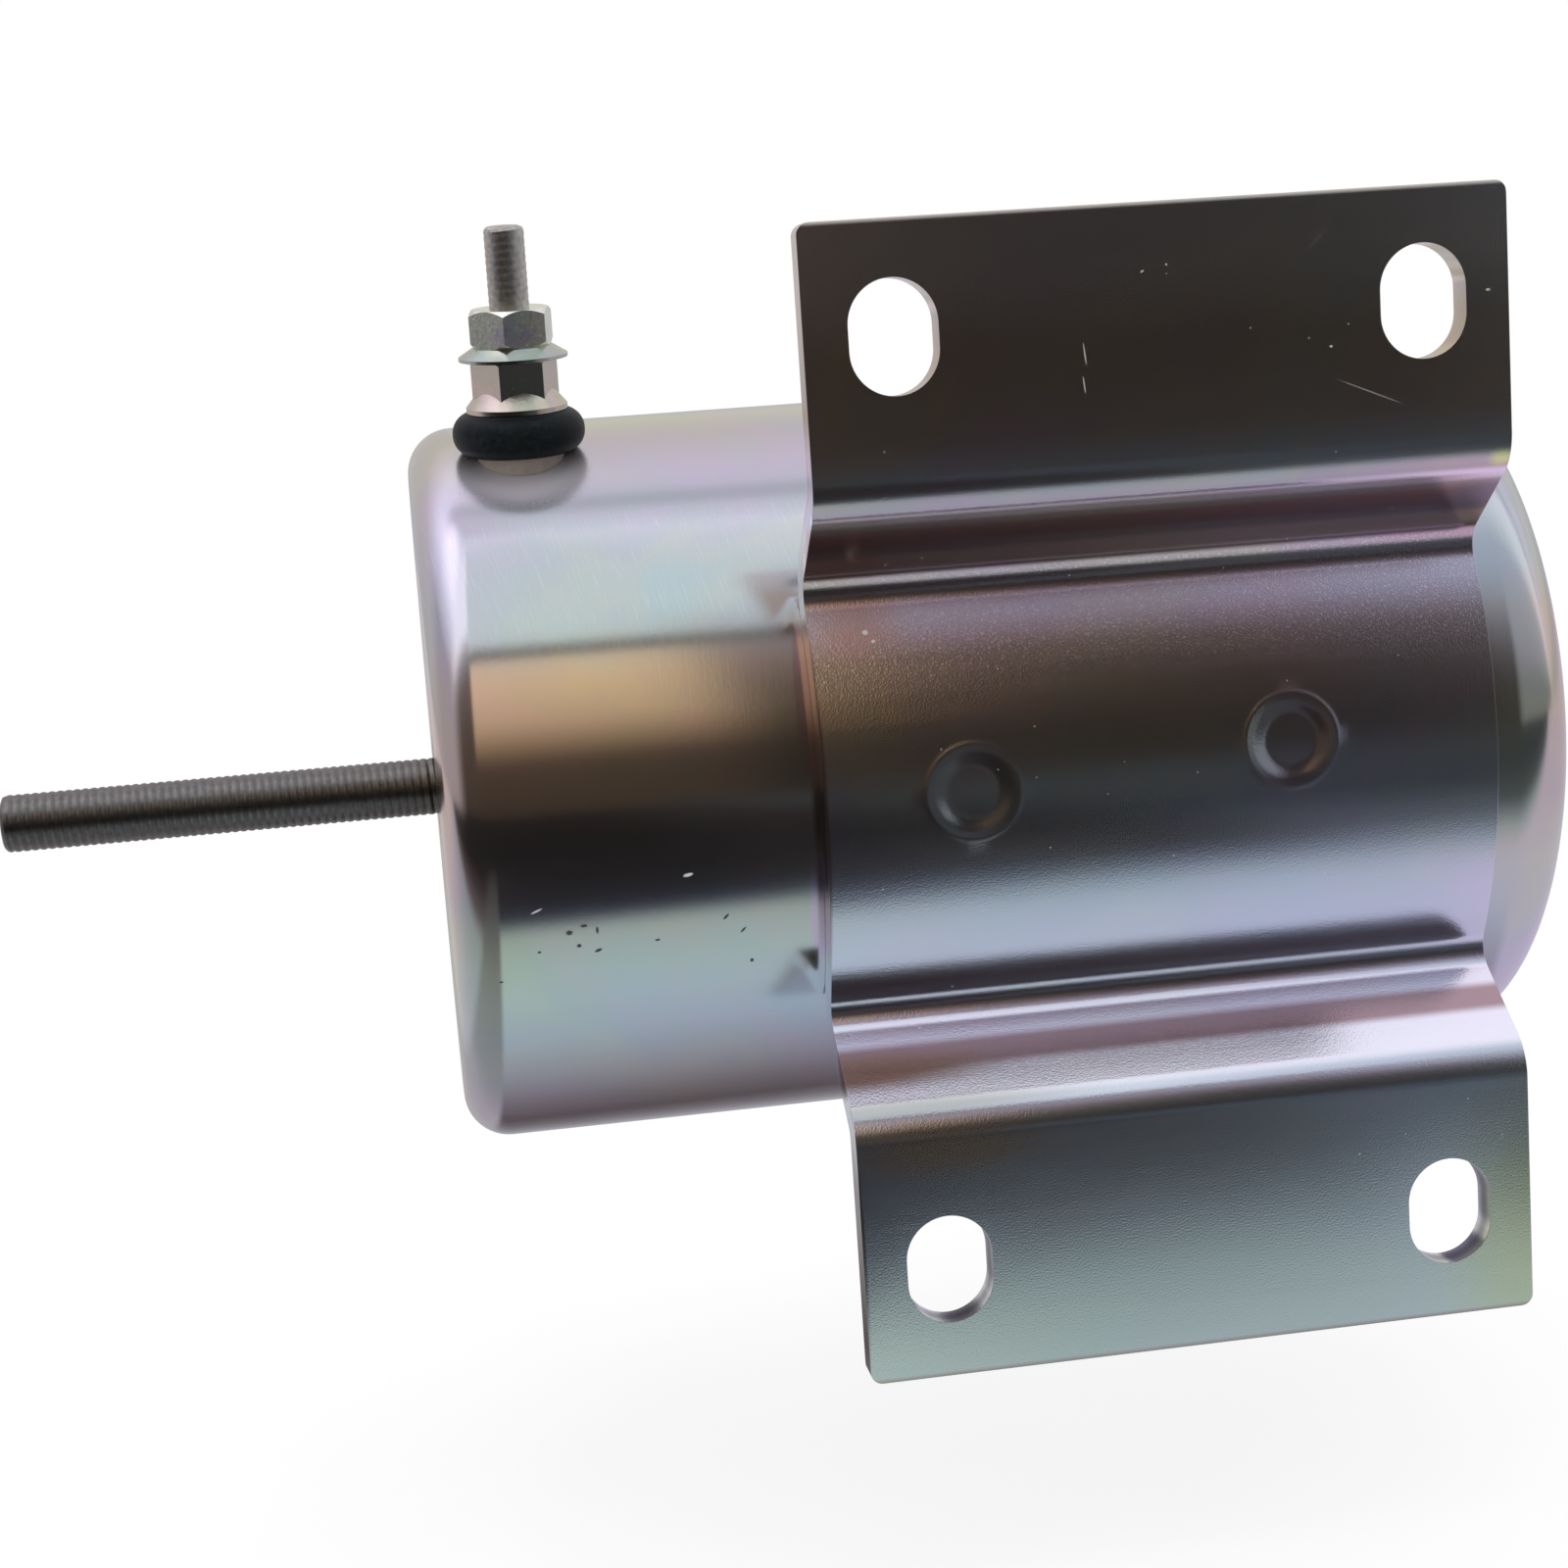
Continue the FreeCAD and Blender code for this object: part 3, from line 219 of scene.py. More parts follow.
class Shader(NodeSheet):
    """A material in the making, around one Principled surface."""

    def __init__(self, name: str) -> None:
        """Starts a material.

        Args:
            name: the material's name.
        """
        self.material = bpy.data.materials.new(name)
        self.material.use_nodes = True
        super().__init__(self.material.node_tree)
        self.surface = self.tree.nodes["Principled BSDF"]
        self.coordinates = self.add("ShaderNodeTexCoord").outputs["Object"]

    def axes(self, vector: Socket | None = None) -> tuple[Socket, ...]:
        """Splits a vector, by default the object's coordinates."""
        return super().axes(vector or self.coordinates)

    def paint(self, inputs: dict[str, object]) -> None:
        """Feeds inputs of the surface by their names."""
        for name, value in inputs.items():
            self.feed(self.surface.inputs[name], value)

    def mapped(self, size: Triple, turn: float = 0.0, place: Triple = (0.0, 0.0, 0.0)) -> Socket:
        """Counts the object's coordinates from a place in steps of given sizes.

        Args:
            size: the steps along X, Y and Z, in millimetres.
            turn: how far the steps are turned about Y, in degrees.
            place: where they start, in millimetres.

        Returns:
            The counted coordinates.
        """
        return self.add("ShaderNodeMapping", {
            "Vector": self.coordinates, "Location": Vector(place) * MM,
            "Rotation": (0, math.radians(turn), 0), "Scale": Vector(size) * MM,
        }, vector_type="TEXTURE").outputs[0]

    def away(self, size: Triple, turn: float, place: Triple) -> Socket:
        """Measures how far points lie from a place, in steps of given sizes."""
        steps = self.mapped(size, turn, place)
        return self.add("ShaderNodeVectorMath", {0: steps}, operation="LENGTH").outputs["Value"]

    def angle(self) -> Socket:
        """Works out the angle round the rod's axis as a share of a turn.

        Returns:
            0.5 at the side of the mounting face, 0.75 on top, 0.25 below, 0 and 1 at the back.
        """
        _, across, up = self.axes()
        return self.turn(up, self.math("SUBTRACT", AXIS_Y, across))

    def bump(self, *layers: tuple[object, float]) -> None:
        """Adds bump layers to the surface.

        Args:
            layers: pairs of height and depth in metres.
        """
        under = {}
        for height, depth in layers:
            node = self.add("ShaderNodeBump", {"Height": height, "Distance": depth} | under)
            under = {"Normal": node.outputs[0]}
        self.paint(under)


@dataclass(frozen=True)
class PlainFinish:
    """A metal or moulded finish with a soft mottle."""

    name: str
    colour: Colour
    metallic: float
    roughness: float
    mottle: float = 0.12
    grain: float = 900.0
    detail: float = 4.0
    contrast: Span = (0.3, 0.7)
    depth: float = 0.02 * MM

    def make(self) -> bpy.types.Material:
        """Builds the material.

        Returns:
            The material.
        """
        shader = Shader(self.name)
        speckle = shader.noise(shader.coordinates, self.grain, self.detail)
        dark = tuple(part * (1 - self.mottle) for part in self.colour)
        light = tuple(min(1.0, part * (1 + self.mottle)) for part in self.colour)
        shader.paint({
            "Base Color": shader.ramp(speckle, tuple(zip(self.contrast, (dark, light)))),
            "Metallic": self.metallic,
            "Roughness": self.roughness,
        })
        shader.bump((speckle, self.depth))
        return shader.material


@dataclass(frozen=True)
class FilmFinish:
    """Bright plating on a small piece, under a thin film whose tint wanders."""

    name: str
    tints: Stops
    cloud: float = 260.0
    warp: float = 0.4
    grain: float = 2600.0
    roughness: float = 0.24
    uneven: float = 0.16
    depth: float = 0.01 * MM

    def make(self) -> bpy.types.Material:
        """Builds the material.

        Returns:
            The material.
        """
        shader = Shader(self.name)
        cloud = shader.noise(shader.coordinates, self.cloud, distortion=self.warp)
        grain = shader.noise(shader.coordinates, self.grain)
        shader.paint({
            "Base Color": shader.ramp(cloud, self.tints),
            "Metallic": 1.0,
            "Roughness": shader.spread(grain, self.roughness, self.uneven),
        })
        shader.bump((grain, self.depth))
        return shader.material


@dataclass(frozen=True)
class RubberFinish:
    """Black moulded rubber with a faint cold sheen."""

    name: str = "black_rubber"
    colour: Colour = (0.005, 0.007, 0.008)
    paler: float = 2.4
    contrast: Span = (0.45, 0.85)
    grain: float = 1800.0
    detail: float = 4.0
    roughness: float = 0.45
    uneven: float = 0.3
    sheen: float = 0.12
    depth: float = 0.02 * MM

    def make(self) -> bpy.types.Material:
        """Builds the material.

        Returns:
            The material.
        """
        shader = Shader(self.name)
        dust = shader.noise(shader.coordinates, self.grain, self.detail)
        grey = tuple(part * self.paler for part in self.colour)
        shader.paint({
            "Base Color": shader.ramp(dust, tuple(zip(self.contrast, (self.colour, grey)))),
            "Roughness": shader.spread(dust, self.roughness, self.uneven),
            "Specular IOR Level": self.sheen,
        })
        shader.bump((dust, self.depth))
        return shader.material


@dataclass(frozen=True)
class Mark:
    """A stain, a scratch, a speck, or a patch of painted shade, highlight or reflection: its place
    and reach in millimetres, and its colour.

    It is turned about Y by degrees. Bare says how much of the metal it covers, which is nothing for
    a stain in the film and for most of the painted light, and core how much of its reach has the
    full colour.
    """

    place: Triple
    reach: Triple
    tint: Colour
    turn: float = 0.0
    bare: float = 0.0
    core: float = 0.5


def fleck(place: Triple, long: float, wide: float, tint: Colour, bare: float,
          turn: float = 0.0) -> Mark:
    """Makes a scratch or a speck on a face that looks to the front."""
    return Mark(place, (long, FLECK_DEPTH, wide), tint, turn, bare)


@dataclass(frozen=True)
class Strip:
    """A level strip of plating in which a fine texture is painted paler, for painted glints and for
    a painted highlight on brushing streaks.

    It fades in and out over two stretches of height, and the cut says what of the texture shows.
    """

    rise: Span
    fall: Span
    cut: Span
    tint: Colour
    strength: float

    def lay(self, shader: Shader, texture: Socket, tint: Socket) -> Socket:
        """Lays the strip over a colour.

        Args:
            shader: the material in the making.
            texture: the fine texture.
            tint: the colour underneath.

        Returns:
            The colour with the strip.
        """
        height = shader.axes()[2]
        fade_in, fade_out = shader.between(height, *self.rise), shader.between(height, *self.fall)
        shown = shader.math("MULTIPLY", shader.between(texture, *self.cut), self.strength)
        shown = shader.math("MULTIPLY", shown, shader.math("MULTIPLY", fade_in, fade_out))
        return shader.mix(shown, tint, self.tint)


@dataclass(frozen=True)
class PlatedFinish:
    """Zinc plating under a thin film whose tint changes round the rod's axis and in patches."""

    name: str
    bands: Stops
    marks: tuple[Mark, ...]
    wander: float
    roughness: float
    haze: float
    grain: Triple
    grain_depth: float
    fleck_scale: float
    fleck_depth: float
    dust: float = 0.0
    brushed_sheen: Strip | None = None
    glint: Strip | None = None
    wander_scale: float = 30.0
    patches: Stops = (
        (0.28, (0.44, 0.60, 0.56)), (0.42, (0.60, 0.58, 0.42)), (0.50, (0.50, 0.50, 0.50)),
        (0.58, (0.60, 0.46, 0.58)), (0.72, (0.45, 0.50, 0.64)),
    )
    patch_share: float = 0.7
    patch_scale: float = 38.0
    patch_warp: float = 0.6
    brush: Triple = (0.1, 4.0, 4.0)
    brush_turn: float = -13.0
    coarseness: float = 0.6
    fine_detail: float = 2.0
    uneven: float = 0.06
    dust_scale: float = 330.0
    dust_edge: Span = (0.04, 0.01)

    def make(self) -> bpy.types.Material:
        """Builds the material.

        Returns:
            The material.
        """
        shader = Shader(self.name)
        wander = shader.noise(shader.coordinates, self.wander_scale)
        turn = shader.math("ADD", shader.angle(), shader.spread(wander, 0.0, self.wander))
        cloud = shader.noise(shader.coordinates, self.patch_scale, distortion=self.patch_warp)
        patches = shader.ramp(cloud, self.patches)
        tint = shader.mix(self.patch_share, shader.ramp(turn, self.bands), patches, "SOFT_LIGHT")
        grain = shader.noise(shader.mapped(self.grain), 1.0, roughness=self.coarseness)
        flecks = shader.noise(shader.coordinates, self.fleck_scale, self.fine_detail)
        streaks = shader.noise(shader.mapped(self.brush, self.brush_turn), 1.0, self.fine_detail)
        for strip, texture in ((self.brushed_sheen, streaks), (self.glint, flecks)):
            if strip:
                tint = strip.lay(shader, texture, tint)
        tint, bare = self.wear_and_painted_light(shader, tint)
        gloss = shader.spread(grain, self.roughness, self.uneven)
        shader.paint({
            "Base Color": tint,
            "Metallic": shader.math("SUBTRACT", 1.0 - self.haze, bare),
            "Roughness": shader.math("ADD", gloss, bare),
        })
        shader.bump((grain, self.grain_depth), (flecks, self.fleck_depth))
        return shader.material

    def wear_and_painted_light(self, shader: Shader, tint: Socket) -> tuple[Socket, Socket]:
        """Adds dust, the marks that wear has left, and patches of painted shade, highlight and
        reflection.

        Args:
            shader: the material in the making.
            tint: the colour of the unworn plating.

        Returns:
            The colour with wear and painted light, and how far the metal is covered.
        """
        spots = {"Vector": shader.coordinates, "Scale": self.dust_scale}
        cells = shader.add("ShaderNodeTexVoronoi", spots)
        dots = shader.between(cells.outputs["Distance"], *self.dust_edge)
        bare = shader.math("MULTIPLY", dots, self.dust)
        tint = shader.mix(bare, tint, PALE)
        # the marks: stains, scratches and specks, and patches of painted shade, highlight and
        # reflection
        for mark in self.marks:
            cover = shader.between(shader.away(mark.reach, mark.turn, mark.place), 1.0, mark.core)
            tint = shader.mix(cover, tint, mark.tint)
            if mark.bare:
                bare = shader.math("MAXIMUM", bare, shader.math("MULTIPLY", cover, mark.bare))
        return tint, bare


@dataclass
class Wire:
    """An outline that grows from its first point by straight lines and arcs."""

    start: Vector
    mesh: BMesh = field(init=False)
    tip: bmesh.types.BMVert = field(init=False)

    def __post_init__(self) -> None:
        """Places the first point."""
        self.mesh = bmesh.new()
        self.tip = bmesh.ops.create_vert(self.mesh, co=self.start)["vert"][0]

    def line(self, end: Vector) -> "Wire":
        """Draws a straight line.

        Args:
            end: where it ends.

        Returns:
            The outline.
        """
        step = bmesh.ops.extrude_vert_indiv(self.mesh, verts=[self.tip])
        self.tip = step["verts"][0]
        self.tip.co = end
        return self

    def arc(self, centre: Vector, axis: Vector, angle: float, steps: int) -> "Wire":
        """Draws an arc from the tip.

        Args:
            centre: the arc's centre.
            axis: what it turns about.
            angle: how far it turns, in radians.
            steps: how many straight pieces it has.

        Returns:
            The outline.
        """
        last = bmesh.ops.spin(self.mesh, geom=[self.tip], cent=centre, axis=axis, angle=angle,
                              steps=steps)
        self.tip = last["geom_last"][0]
        return self

    def closed(self) -> "Wire":
        """Joins the tip to the first point.

        Returns:
            The outline.
        """
        self.mesh.verts.ensure_lookup_table()
        self.mesh.edges.new((self.tip, self.mesh.verts[0]))
        return self


def beside(along: float, out: float) -> Vector:
    """Places a point of a turned section at a distance from the rod's axis."""
    return Vector((along, AXIS_Y + out, 0))


def soften(mesh: BMesh, places: list[Vector], radius: float, segments: int) -> None:
    """Rounds corners of an outline.

    Args:
        mesh: the outline.
        places: the corners.
        radius: the length that each corner gives up on both sides.
        segments: how many straight pieces each round has.
    """
    corners = [vert for vert in mesh.verts
               if any((vert.co - place).length < WELD for place in places)]
    bmesh.ops.bevel(mesh, geom=corners, offset=radius, offset_type="OFFSET", segments=segments,
                    profile=0.5, affect="VERTICES", material=-1)


def lathe(mesh: BMesh, steps: int) -> None:
    """Turns an outline all the way round the rod's axis in a number of steps."""
    bmesh.ops.spin(mesh, geom=mesh.edges[:] + mesh.verts[:], cent=(0, AXIS_Y, 0), axis=X_AXIS,
                   angle=math.tau, steps=steps, use_merge=True)


def data_from(mesh: BMesh, name: str) -> bpy.types.Mesh:
    """Writes a finished shape down as mesh data.

    Args:
        mesh: the shape, which is freed.
        name: the data's name.

    Returns:
        The mesh data.
    """
    data = bpy.data.meshes.new(name)
    mesh.to_mesh(data)
    mesh.free()
    return data


def shown(name: str, data: bpy.types.ID) -> bpy.types.Object:
    """Puts data into the scene.

    Args:
        name: the object's name.
        data: its mesh, lamp or camera data.

    Returns:
        The object.
    """
    made = bpy.data.objects.new(name, data)
    bpy.context.scene.collection.objects.link(made)
    return made


def piece_from(mesh: BMesh, name: str, crease: float = 35.0) -> bpy.types.Object:
    """Makes a shown object from a finished shape.

    Args:
        mesh: the shape, which is freed.
        name: the object's name.
        crease: the angle in degrees past which an edge stays sharp.

    Returns:
        The object.
    """
    bmesh.ops.remove_doubles(mesh, verts=mesh.verts, dist=WELD)
    bmesh.ops.recalc_face_normals(mesh, faces=mesh.faces)
    data = data_from(mesh, name)
    data.shade_smooth()
    data.set_sharp_from_angle(angle=math.radians(crease))
    return shown(name, data)


def join(mesh: BMesh, other: BMesh) -> None:
    """Moves another shape into a shape.

    Args:
        mesh: the shape that grows.
        other: the shape that goes into it, which is freed.
    """
    data = data_from(other, "carrier")
    mesh.from_mesh(data)
    bpy.data.meshes.remove(data)


def dress(piece: bpy.types.Object, material: bpy.types.Material, body: Body, slot: Slot,
          *nodes: str) -> None:
    """Gives a piece its finish and its place in the model.

    Args:
        piece: the piece.
        material: its finish.
        body: what it rides on.
        slot: the record's finish; not used.
        nodes: the CAD nodes that it stands for.
    """
    piece.data.materials.append(material)
    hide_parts(*nodes)
    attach(piece, body.value)
    log.info("%s: %d faces", piece.name, len(piece.data.polygons))


CASE_BANDS = (
    (0.0, (0.62, 0.60, 0.64)), (0.12, (0.64, 0.62, 0.50)), (0.22, (0.56, 0.60, 0.62)),
    (0.33, (0.62, 0.58, 0.66)), (0.41, (0.58, 0.64, 0.66)), (0.445, (0.60, 0.66, 0.60)),
    (0.475, (0.58, 0.56, 0.54)), (0.515, (0.62, 0.56, 0.46)), (0.56, (0.66, 0.60, 0.52)),
    (0.582, (0.60, 0.64, 0.64)), (0.62, (0.58, 0.62, 0.66)), (0.66, (0.64, 0.62, 0.68)),
    (0.72, (0.62, 0.62, 0.54)), (0.80, (0.58, 0.64, 0.62)), (0.90, (0.64, 0.58, 0.64)),
    (1.0, (0.62, 0.60, 0.64)),
)
BRACKET_BANDS = (
    (0.0, (0.78, 0.76, 0.80)), (0.35, (0.78, 0.80, 0.84)), (0.408, (0.84, 0.88, 0.96)),
    (0.412, (0.89, 0.87, 0.95)), (0.416, (0.84, 0.79, 0.89)), (0.42, (0.80, 0.76, 0.86)),
    (0.46, (0.72, 0.74, 0.84)), (0.482, (0.70, 0.70, 0.78)), (0.492, (0.54, 0.52, 0.55)),
    (0.51, (0.60, 0.55, 0.54)), (0.535, (0.60, 0.51, 0.45)), (0.555, (0.58, 0.48, 0.43)),
    (0.566, (0.74, 0.66, 0.74)), (0.574, (0.82, 0.72, 0.82)), (0.580, (0.79, 0.67, 0.71)),
    (0.584, (0.70, 0.57, 0.55)), (0.588, (0.48, 0.35, 0.36)), (0.592, (0.66, 0.66, 0.72)),
    (0.602, (0.56, 0.44, 0.40)), (0.618, (0.58, 0.46, 0.40)), (0.63, (0.76, 0.70, 0.69)),
    (0.66, (0.80, 0.78, 0.76)), (1.0, (0.78, 0.76, 0.80)),
)

CASE_MARKS = (
    # painted reflections of the bracket's edge on the case beside the saddle, and a dull patch of
    # painted shadow and reflection of the seal under the terminal
    Mark((-9.2, 10.0, 11.0), (1.2, 9.0, 9.5), (0.62, 0.47, 0.45), core=0.7),
    Mark((-9.2, 10.0, -10.0), (1.2, 6.0, 7.0), (0.70, 0.56, 0.70), core=0.7),
    Mark((-34.4, 31.0, 34.0), (9.5, 10.0, 6.5), (0.52, 0.49, 0.51), bare=0.6, core=0.1),
    # scratches and specks
    fleck((-22.4, 9.0, -5.3), 0.62, 0.22, PALE, 0.5, turn=-10),
    fleck((-37.7, 9.3, -7.6), 0.75, 0.13, PALE, 0.4, turn=-22),
    fleck((-34.6, 9.9, -10.2), 0.45, 0.35, DIRT, 0.7),
    fleck((-33.1, 9.8, -9.6), 0.50, 0.25, DIRT, 0.7),
    fleck((-31.8, 9.9, -10.2), 0.20, 0.50, DIRT, 0.8),
    fleck((-33.7, 10.4, -11.7), 0.30, 0.25, DIRT, 0.5),
    fleck((-31.8, 10.6, -12.4), 0.50, 0.22, DIRT, 0.6, turn=-20),
    fleck((-37.7, 10.4, -12.0), 0.25, 0.15, DIRT, 0.5),
    fleck((-25.8, 10.4, -11.9), 0.35, 0.15, DIRT, 0.6),
    fleck((-18.8, 9.9, -10.1), 0.50, 0.18, DIRT, 0.6, turn=-45),
    fleck((-17.1, 10.4, -11.7), 0.50, 0.15, DIRT, 0.6, turn=-45),
    fleck((-16.3, 11.6, -15.2), 0.25, 0.25, DIRT, 0.5),
    fleck((-41.7, 11.5, -14.9), 0.30, 0.12, DIRT, 0.4),
)
BRACKET_MARKS = (
    # the upper leg's warm corner, and the saddle's and the lower flange's dark left edges
    Mark((-4.0, 8.0, 18.5), (7.0, 6.0, 6.0), (0.76, 0.54, 0.49), core=0.1),
    Mark((-8.9, 9.0, 2.0), (0.7, 9.0, 22.0), (0.30, 0.24, 0.21)),
    Mark((-8.9, 3.0, -44.0), (0.7, 9.0, 15.0), (0.34, 0.28, 0.27)),
    # the upper leg's bands of painted highlight and dark reflection, from its outer fold inwards
    Mark((26.2, 2.0, 28.8), (200.0, 1.3, 1.3), (0.97, 0.84, 0.98), core=0.4),
    Mark((26.2, 4.7, 26.75), (200.0, 2.1, 2.1), (0.52, 0.31, 0.32), core=0.4),
    Mark((26.2, 8.0, 24.3), (200.0, 1.9, 1.9), (1.00, 0.74, 0.66), core=0.4),
    # the lower leg's band of painted dark reflection, and the brown end of its outer fold
    Mark((26.2, 6.3, -25.55), (200.0, 2.3, 2.3), (0.42, 0.29, 0.32), core=0.45),
    Mark((-8.0, 5.2, -26.4), (20.0, 3.2, 3.2), (0.38, 0.24, 0.20), core=0.3),
    Mark((-4.0, 1.3, -29.4), (26.0, 1.6, 1.6), (0.60, 0.60, 0.58), core=0.2),
    Mark((0.0, 0.0, -33.5), (14.0, 1.5, 4.0), (1.00, 0.84, 0.66), core=0.1),
    # the lower flange's greener lower half and end, and its dark lower edge
    Mark((26.2, 0.0, -55.0), (60.0, 3.0, 16.0), (0.65, 0.70, 0.66), core=0.2),
    Mark((62.0, 0.0, -50.0), (14.0, 3.0, 22.0), (0.68, 0.73, 0.50), core=0.2),
    Mark((26.2, 0.2, -57.3), (200.0, 0.7, 0.75), (0.50, 0.40, 0.36), core=0.3),
    # painted shade on the lower slots' walls
    *(Mark((along, 1.65, -46.05), (6.3, 1.9, 7.8), (0.26, 0.28, 0.32), core=0.6)
      for along in (0.0, 52.4)),
    # the upper flange's top edge, painted pale as its highlight, and the dark end of the leg with
    # its yellow corner
    Mark((26.2, 0.2, 57.4), (200.0, 0.8, 0.8), (0.88, 0.84, 0.76), bare=0.5, core=0.3),
    Mark((60.0, 5.0, 26.5), (6.0, 4.0, 4.5), (0.30, 0.26, 0.32), core=0.3),
    Mark((60.3, 0.6, 30.4), (1.8, 1.4, 1.5), (0.80, 0.84, 0.42), core=0.2),
    # the upper flange's scratches and specks
    fleck((18.4, 0.0, 43.2), 0.08, 1.30, PALE, 0.35, turn=-6),
    fleck((18.2, 0.0, 40.3), 0.08, 1.00, PALE, 0.35, turn=-6),
    fleck((46.7, 0.0, 37.7), 4.40, 0.09, PALE, 0.12, turn=23),
    Mark((41.9, 0.0, 52.6), (2.20, FLECK_DEPTH, 0.40), (0.70, 0.66, 0.62), turn=-45,
         bare=0.02, core=0.0),
    fleck((24.4, 0.0, 50.6), 0.22, 0.10, PALE, 0.4, turn=-30),
    fleck((42.9, 0.0, 42.3), 0.18, 0.12, PALE, 0.5),
    fleck((59.0, 0.0, 46.7), 0.30, 0.15, PALE, 0.35),
    fleck((26.8, 0.0, 51.1), 0.12, 0.12, PALE, 0.4),
    fleck((-3.0, 9.0, 17.4), 0.35, 0.30, PALE, 0.4),
    fleck((-2.3, 8.6, 16.5), 0.25, 0.20, PALE, 0.4),
)
CASE_FINISH = PlatedFinish(
    name="case_zinc", bands=CASE_BANDS, marks=CASE_MARKS, wander=0.02, roughness=0.14, haze=0.008,
    grain=(0.16, 12.0, 12.0), grain_depth=0.0012 * MM, fleck_scale=1600.0, fleck_depth=0.002 * MM,
    # the brushing streaks on the case's upper side, painted paler as a highlight where they catch
    # the light
    brushed_sheen=Strip((17 * MM, 22 * MM), (32 * MM, 29 * MM), (0.55, 0.75), (0.84, 0.88, 0.88), 0.28),
)
BRACKET_FINISH = PlatedFinish(
    name="bracket_zinc", bands=BRACKET_BANDS, marks=BRACKET_MARKS, wander=0.003, roughness=0.16,
    haze=0.01, grain=(16.0, 1.1, 1.1), grain_depth=0.0015 * MM, fleck_scale=5200.0,
    fleck_depth=0.011 * MM, dust=0.25,
    # painted glints: pale specks on the saddle's top
    glint=Strip((9 * MM, 16 * MM), (24 * MM, 21 * MM), (0.54, 0.68), (1.0, 0.97, 1.0), 0.7),
)
SPRING_FINISH = PlainFinish("spring_wire", (0.45, 0.45, 0.46), 1.0, 0.3)


@dataclass
class Housing:
    """The drawn case and its domed rear cover. Steps are given for the outside and the inside."""

    wall: float = 2.0 * MM
    corner: float = 5.0 * MM
    mouth: float = 8.0 * MM
    knuckle: float = 8.0 * MM
    dome: float = 120.0 * MM
    rim: float = 12.1 * MM
    edge: float = 0.25 * MM
    facets: int = 240
    edge_steps: int = 3
    corner_steps: tuple[int, int] = (12, 8)
    knuckle_steps: tuple[int, int] = (16, 8)
    dome_steps: tuple[int, int] = (30, 12)

    def build(self) -> None:
        """Builds and dresses both pieces."""
        finish = CASE_FINISH.make()
        dress(self.cup(), finish, Body.ROOT, Slot.CASE, "case")
        dress(self.cover(), finish, Body.ROOT, Slot.CASE, "rear_cover")

    def cup(self) -> bpy.types.Object:
        """Turns the case's section.

        Returns:
            The case.
        """
        low, high = box_of("case")
        radius = (high.z - low.z) / 2
        front, seam = low.x, high.x
        section = Wire(beside(front, self.mouth))
        section.line(beside(front, radius - self.corner))
        corner = beside(front + self.corner, radius - self.corner)
        section.arc(corner, Z_AXIS, -math.pi / 2, self.corner_steps[0])
        section.line(beside(seam, radius)).line(beside(seam, radius - self.wall))
        section.line(beside(front + self.corner, radius - self.wall))
        section.arc(corner, Z_AXIS, math.pi / 2, self.corner_steps[1])
        section.line(beside(front + self.wall, self.mouth)).closed()
        edges = [beside(front, self.mouth), beside(seam, radius)]
        soften(section.mesh, edges, self.edge, self.edge_steps)
        lathe(section.mesh, self.facets)
        return piece_from(section.mesh, "case_shell")

    def cover(self) -> bpy.types.Object:
        """Turns the rear cover's section.

        Returns:
            The cover.
        """
        low, high = box_of("rear_cover")
        radius, seam = (high.z - low.z) / 2, low.x
        crown = radius - self.knuckle
        middle = self.rim - math.sqrt((self.dome - self.knuckle) ** 2 - crown ** 2)
        lean = math.atan2(crown, self.rim - middle)
        knuckle, centre = beside(seam + self.rim, crown), beside(seam + middle, 0)
        section = Wire(beside(seam, radius))
        section.line(beside(seam + self.rim, radius))
        section.arc(knuckle, Z_AXIS, lean - math.pi / 2, self.knuckle_steps[0])
        section.arc(centre, Z_AXIS, -lean, self.dome_steps[0])
        section.line(beside(seam + middle + self.dome - self.wall, 0))
        section.arc(centre, Z_AXIS, lean, self.dome_steps[1])
        section.arc(knuckle, Z_AXIS, math.pi / 2 - lean, self.knuckle_steps[1])
        section.line(beside(seam, radius - self.wall)).closed()
        lathe(section.mesh, self.facets)
        return piece_from(section.mesh, "cover_shell")


@dataclass(frozen=True)
class Dimple:
    """A weld dimple in the saddle: where it lies along the rod and above the axis."""

    along: float
    up: float


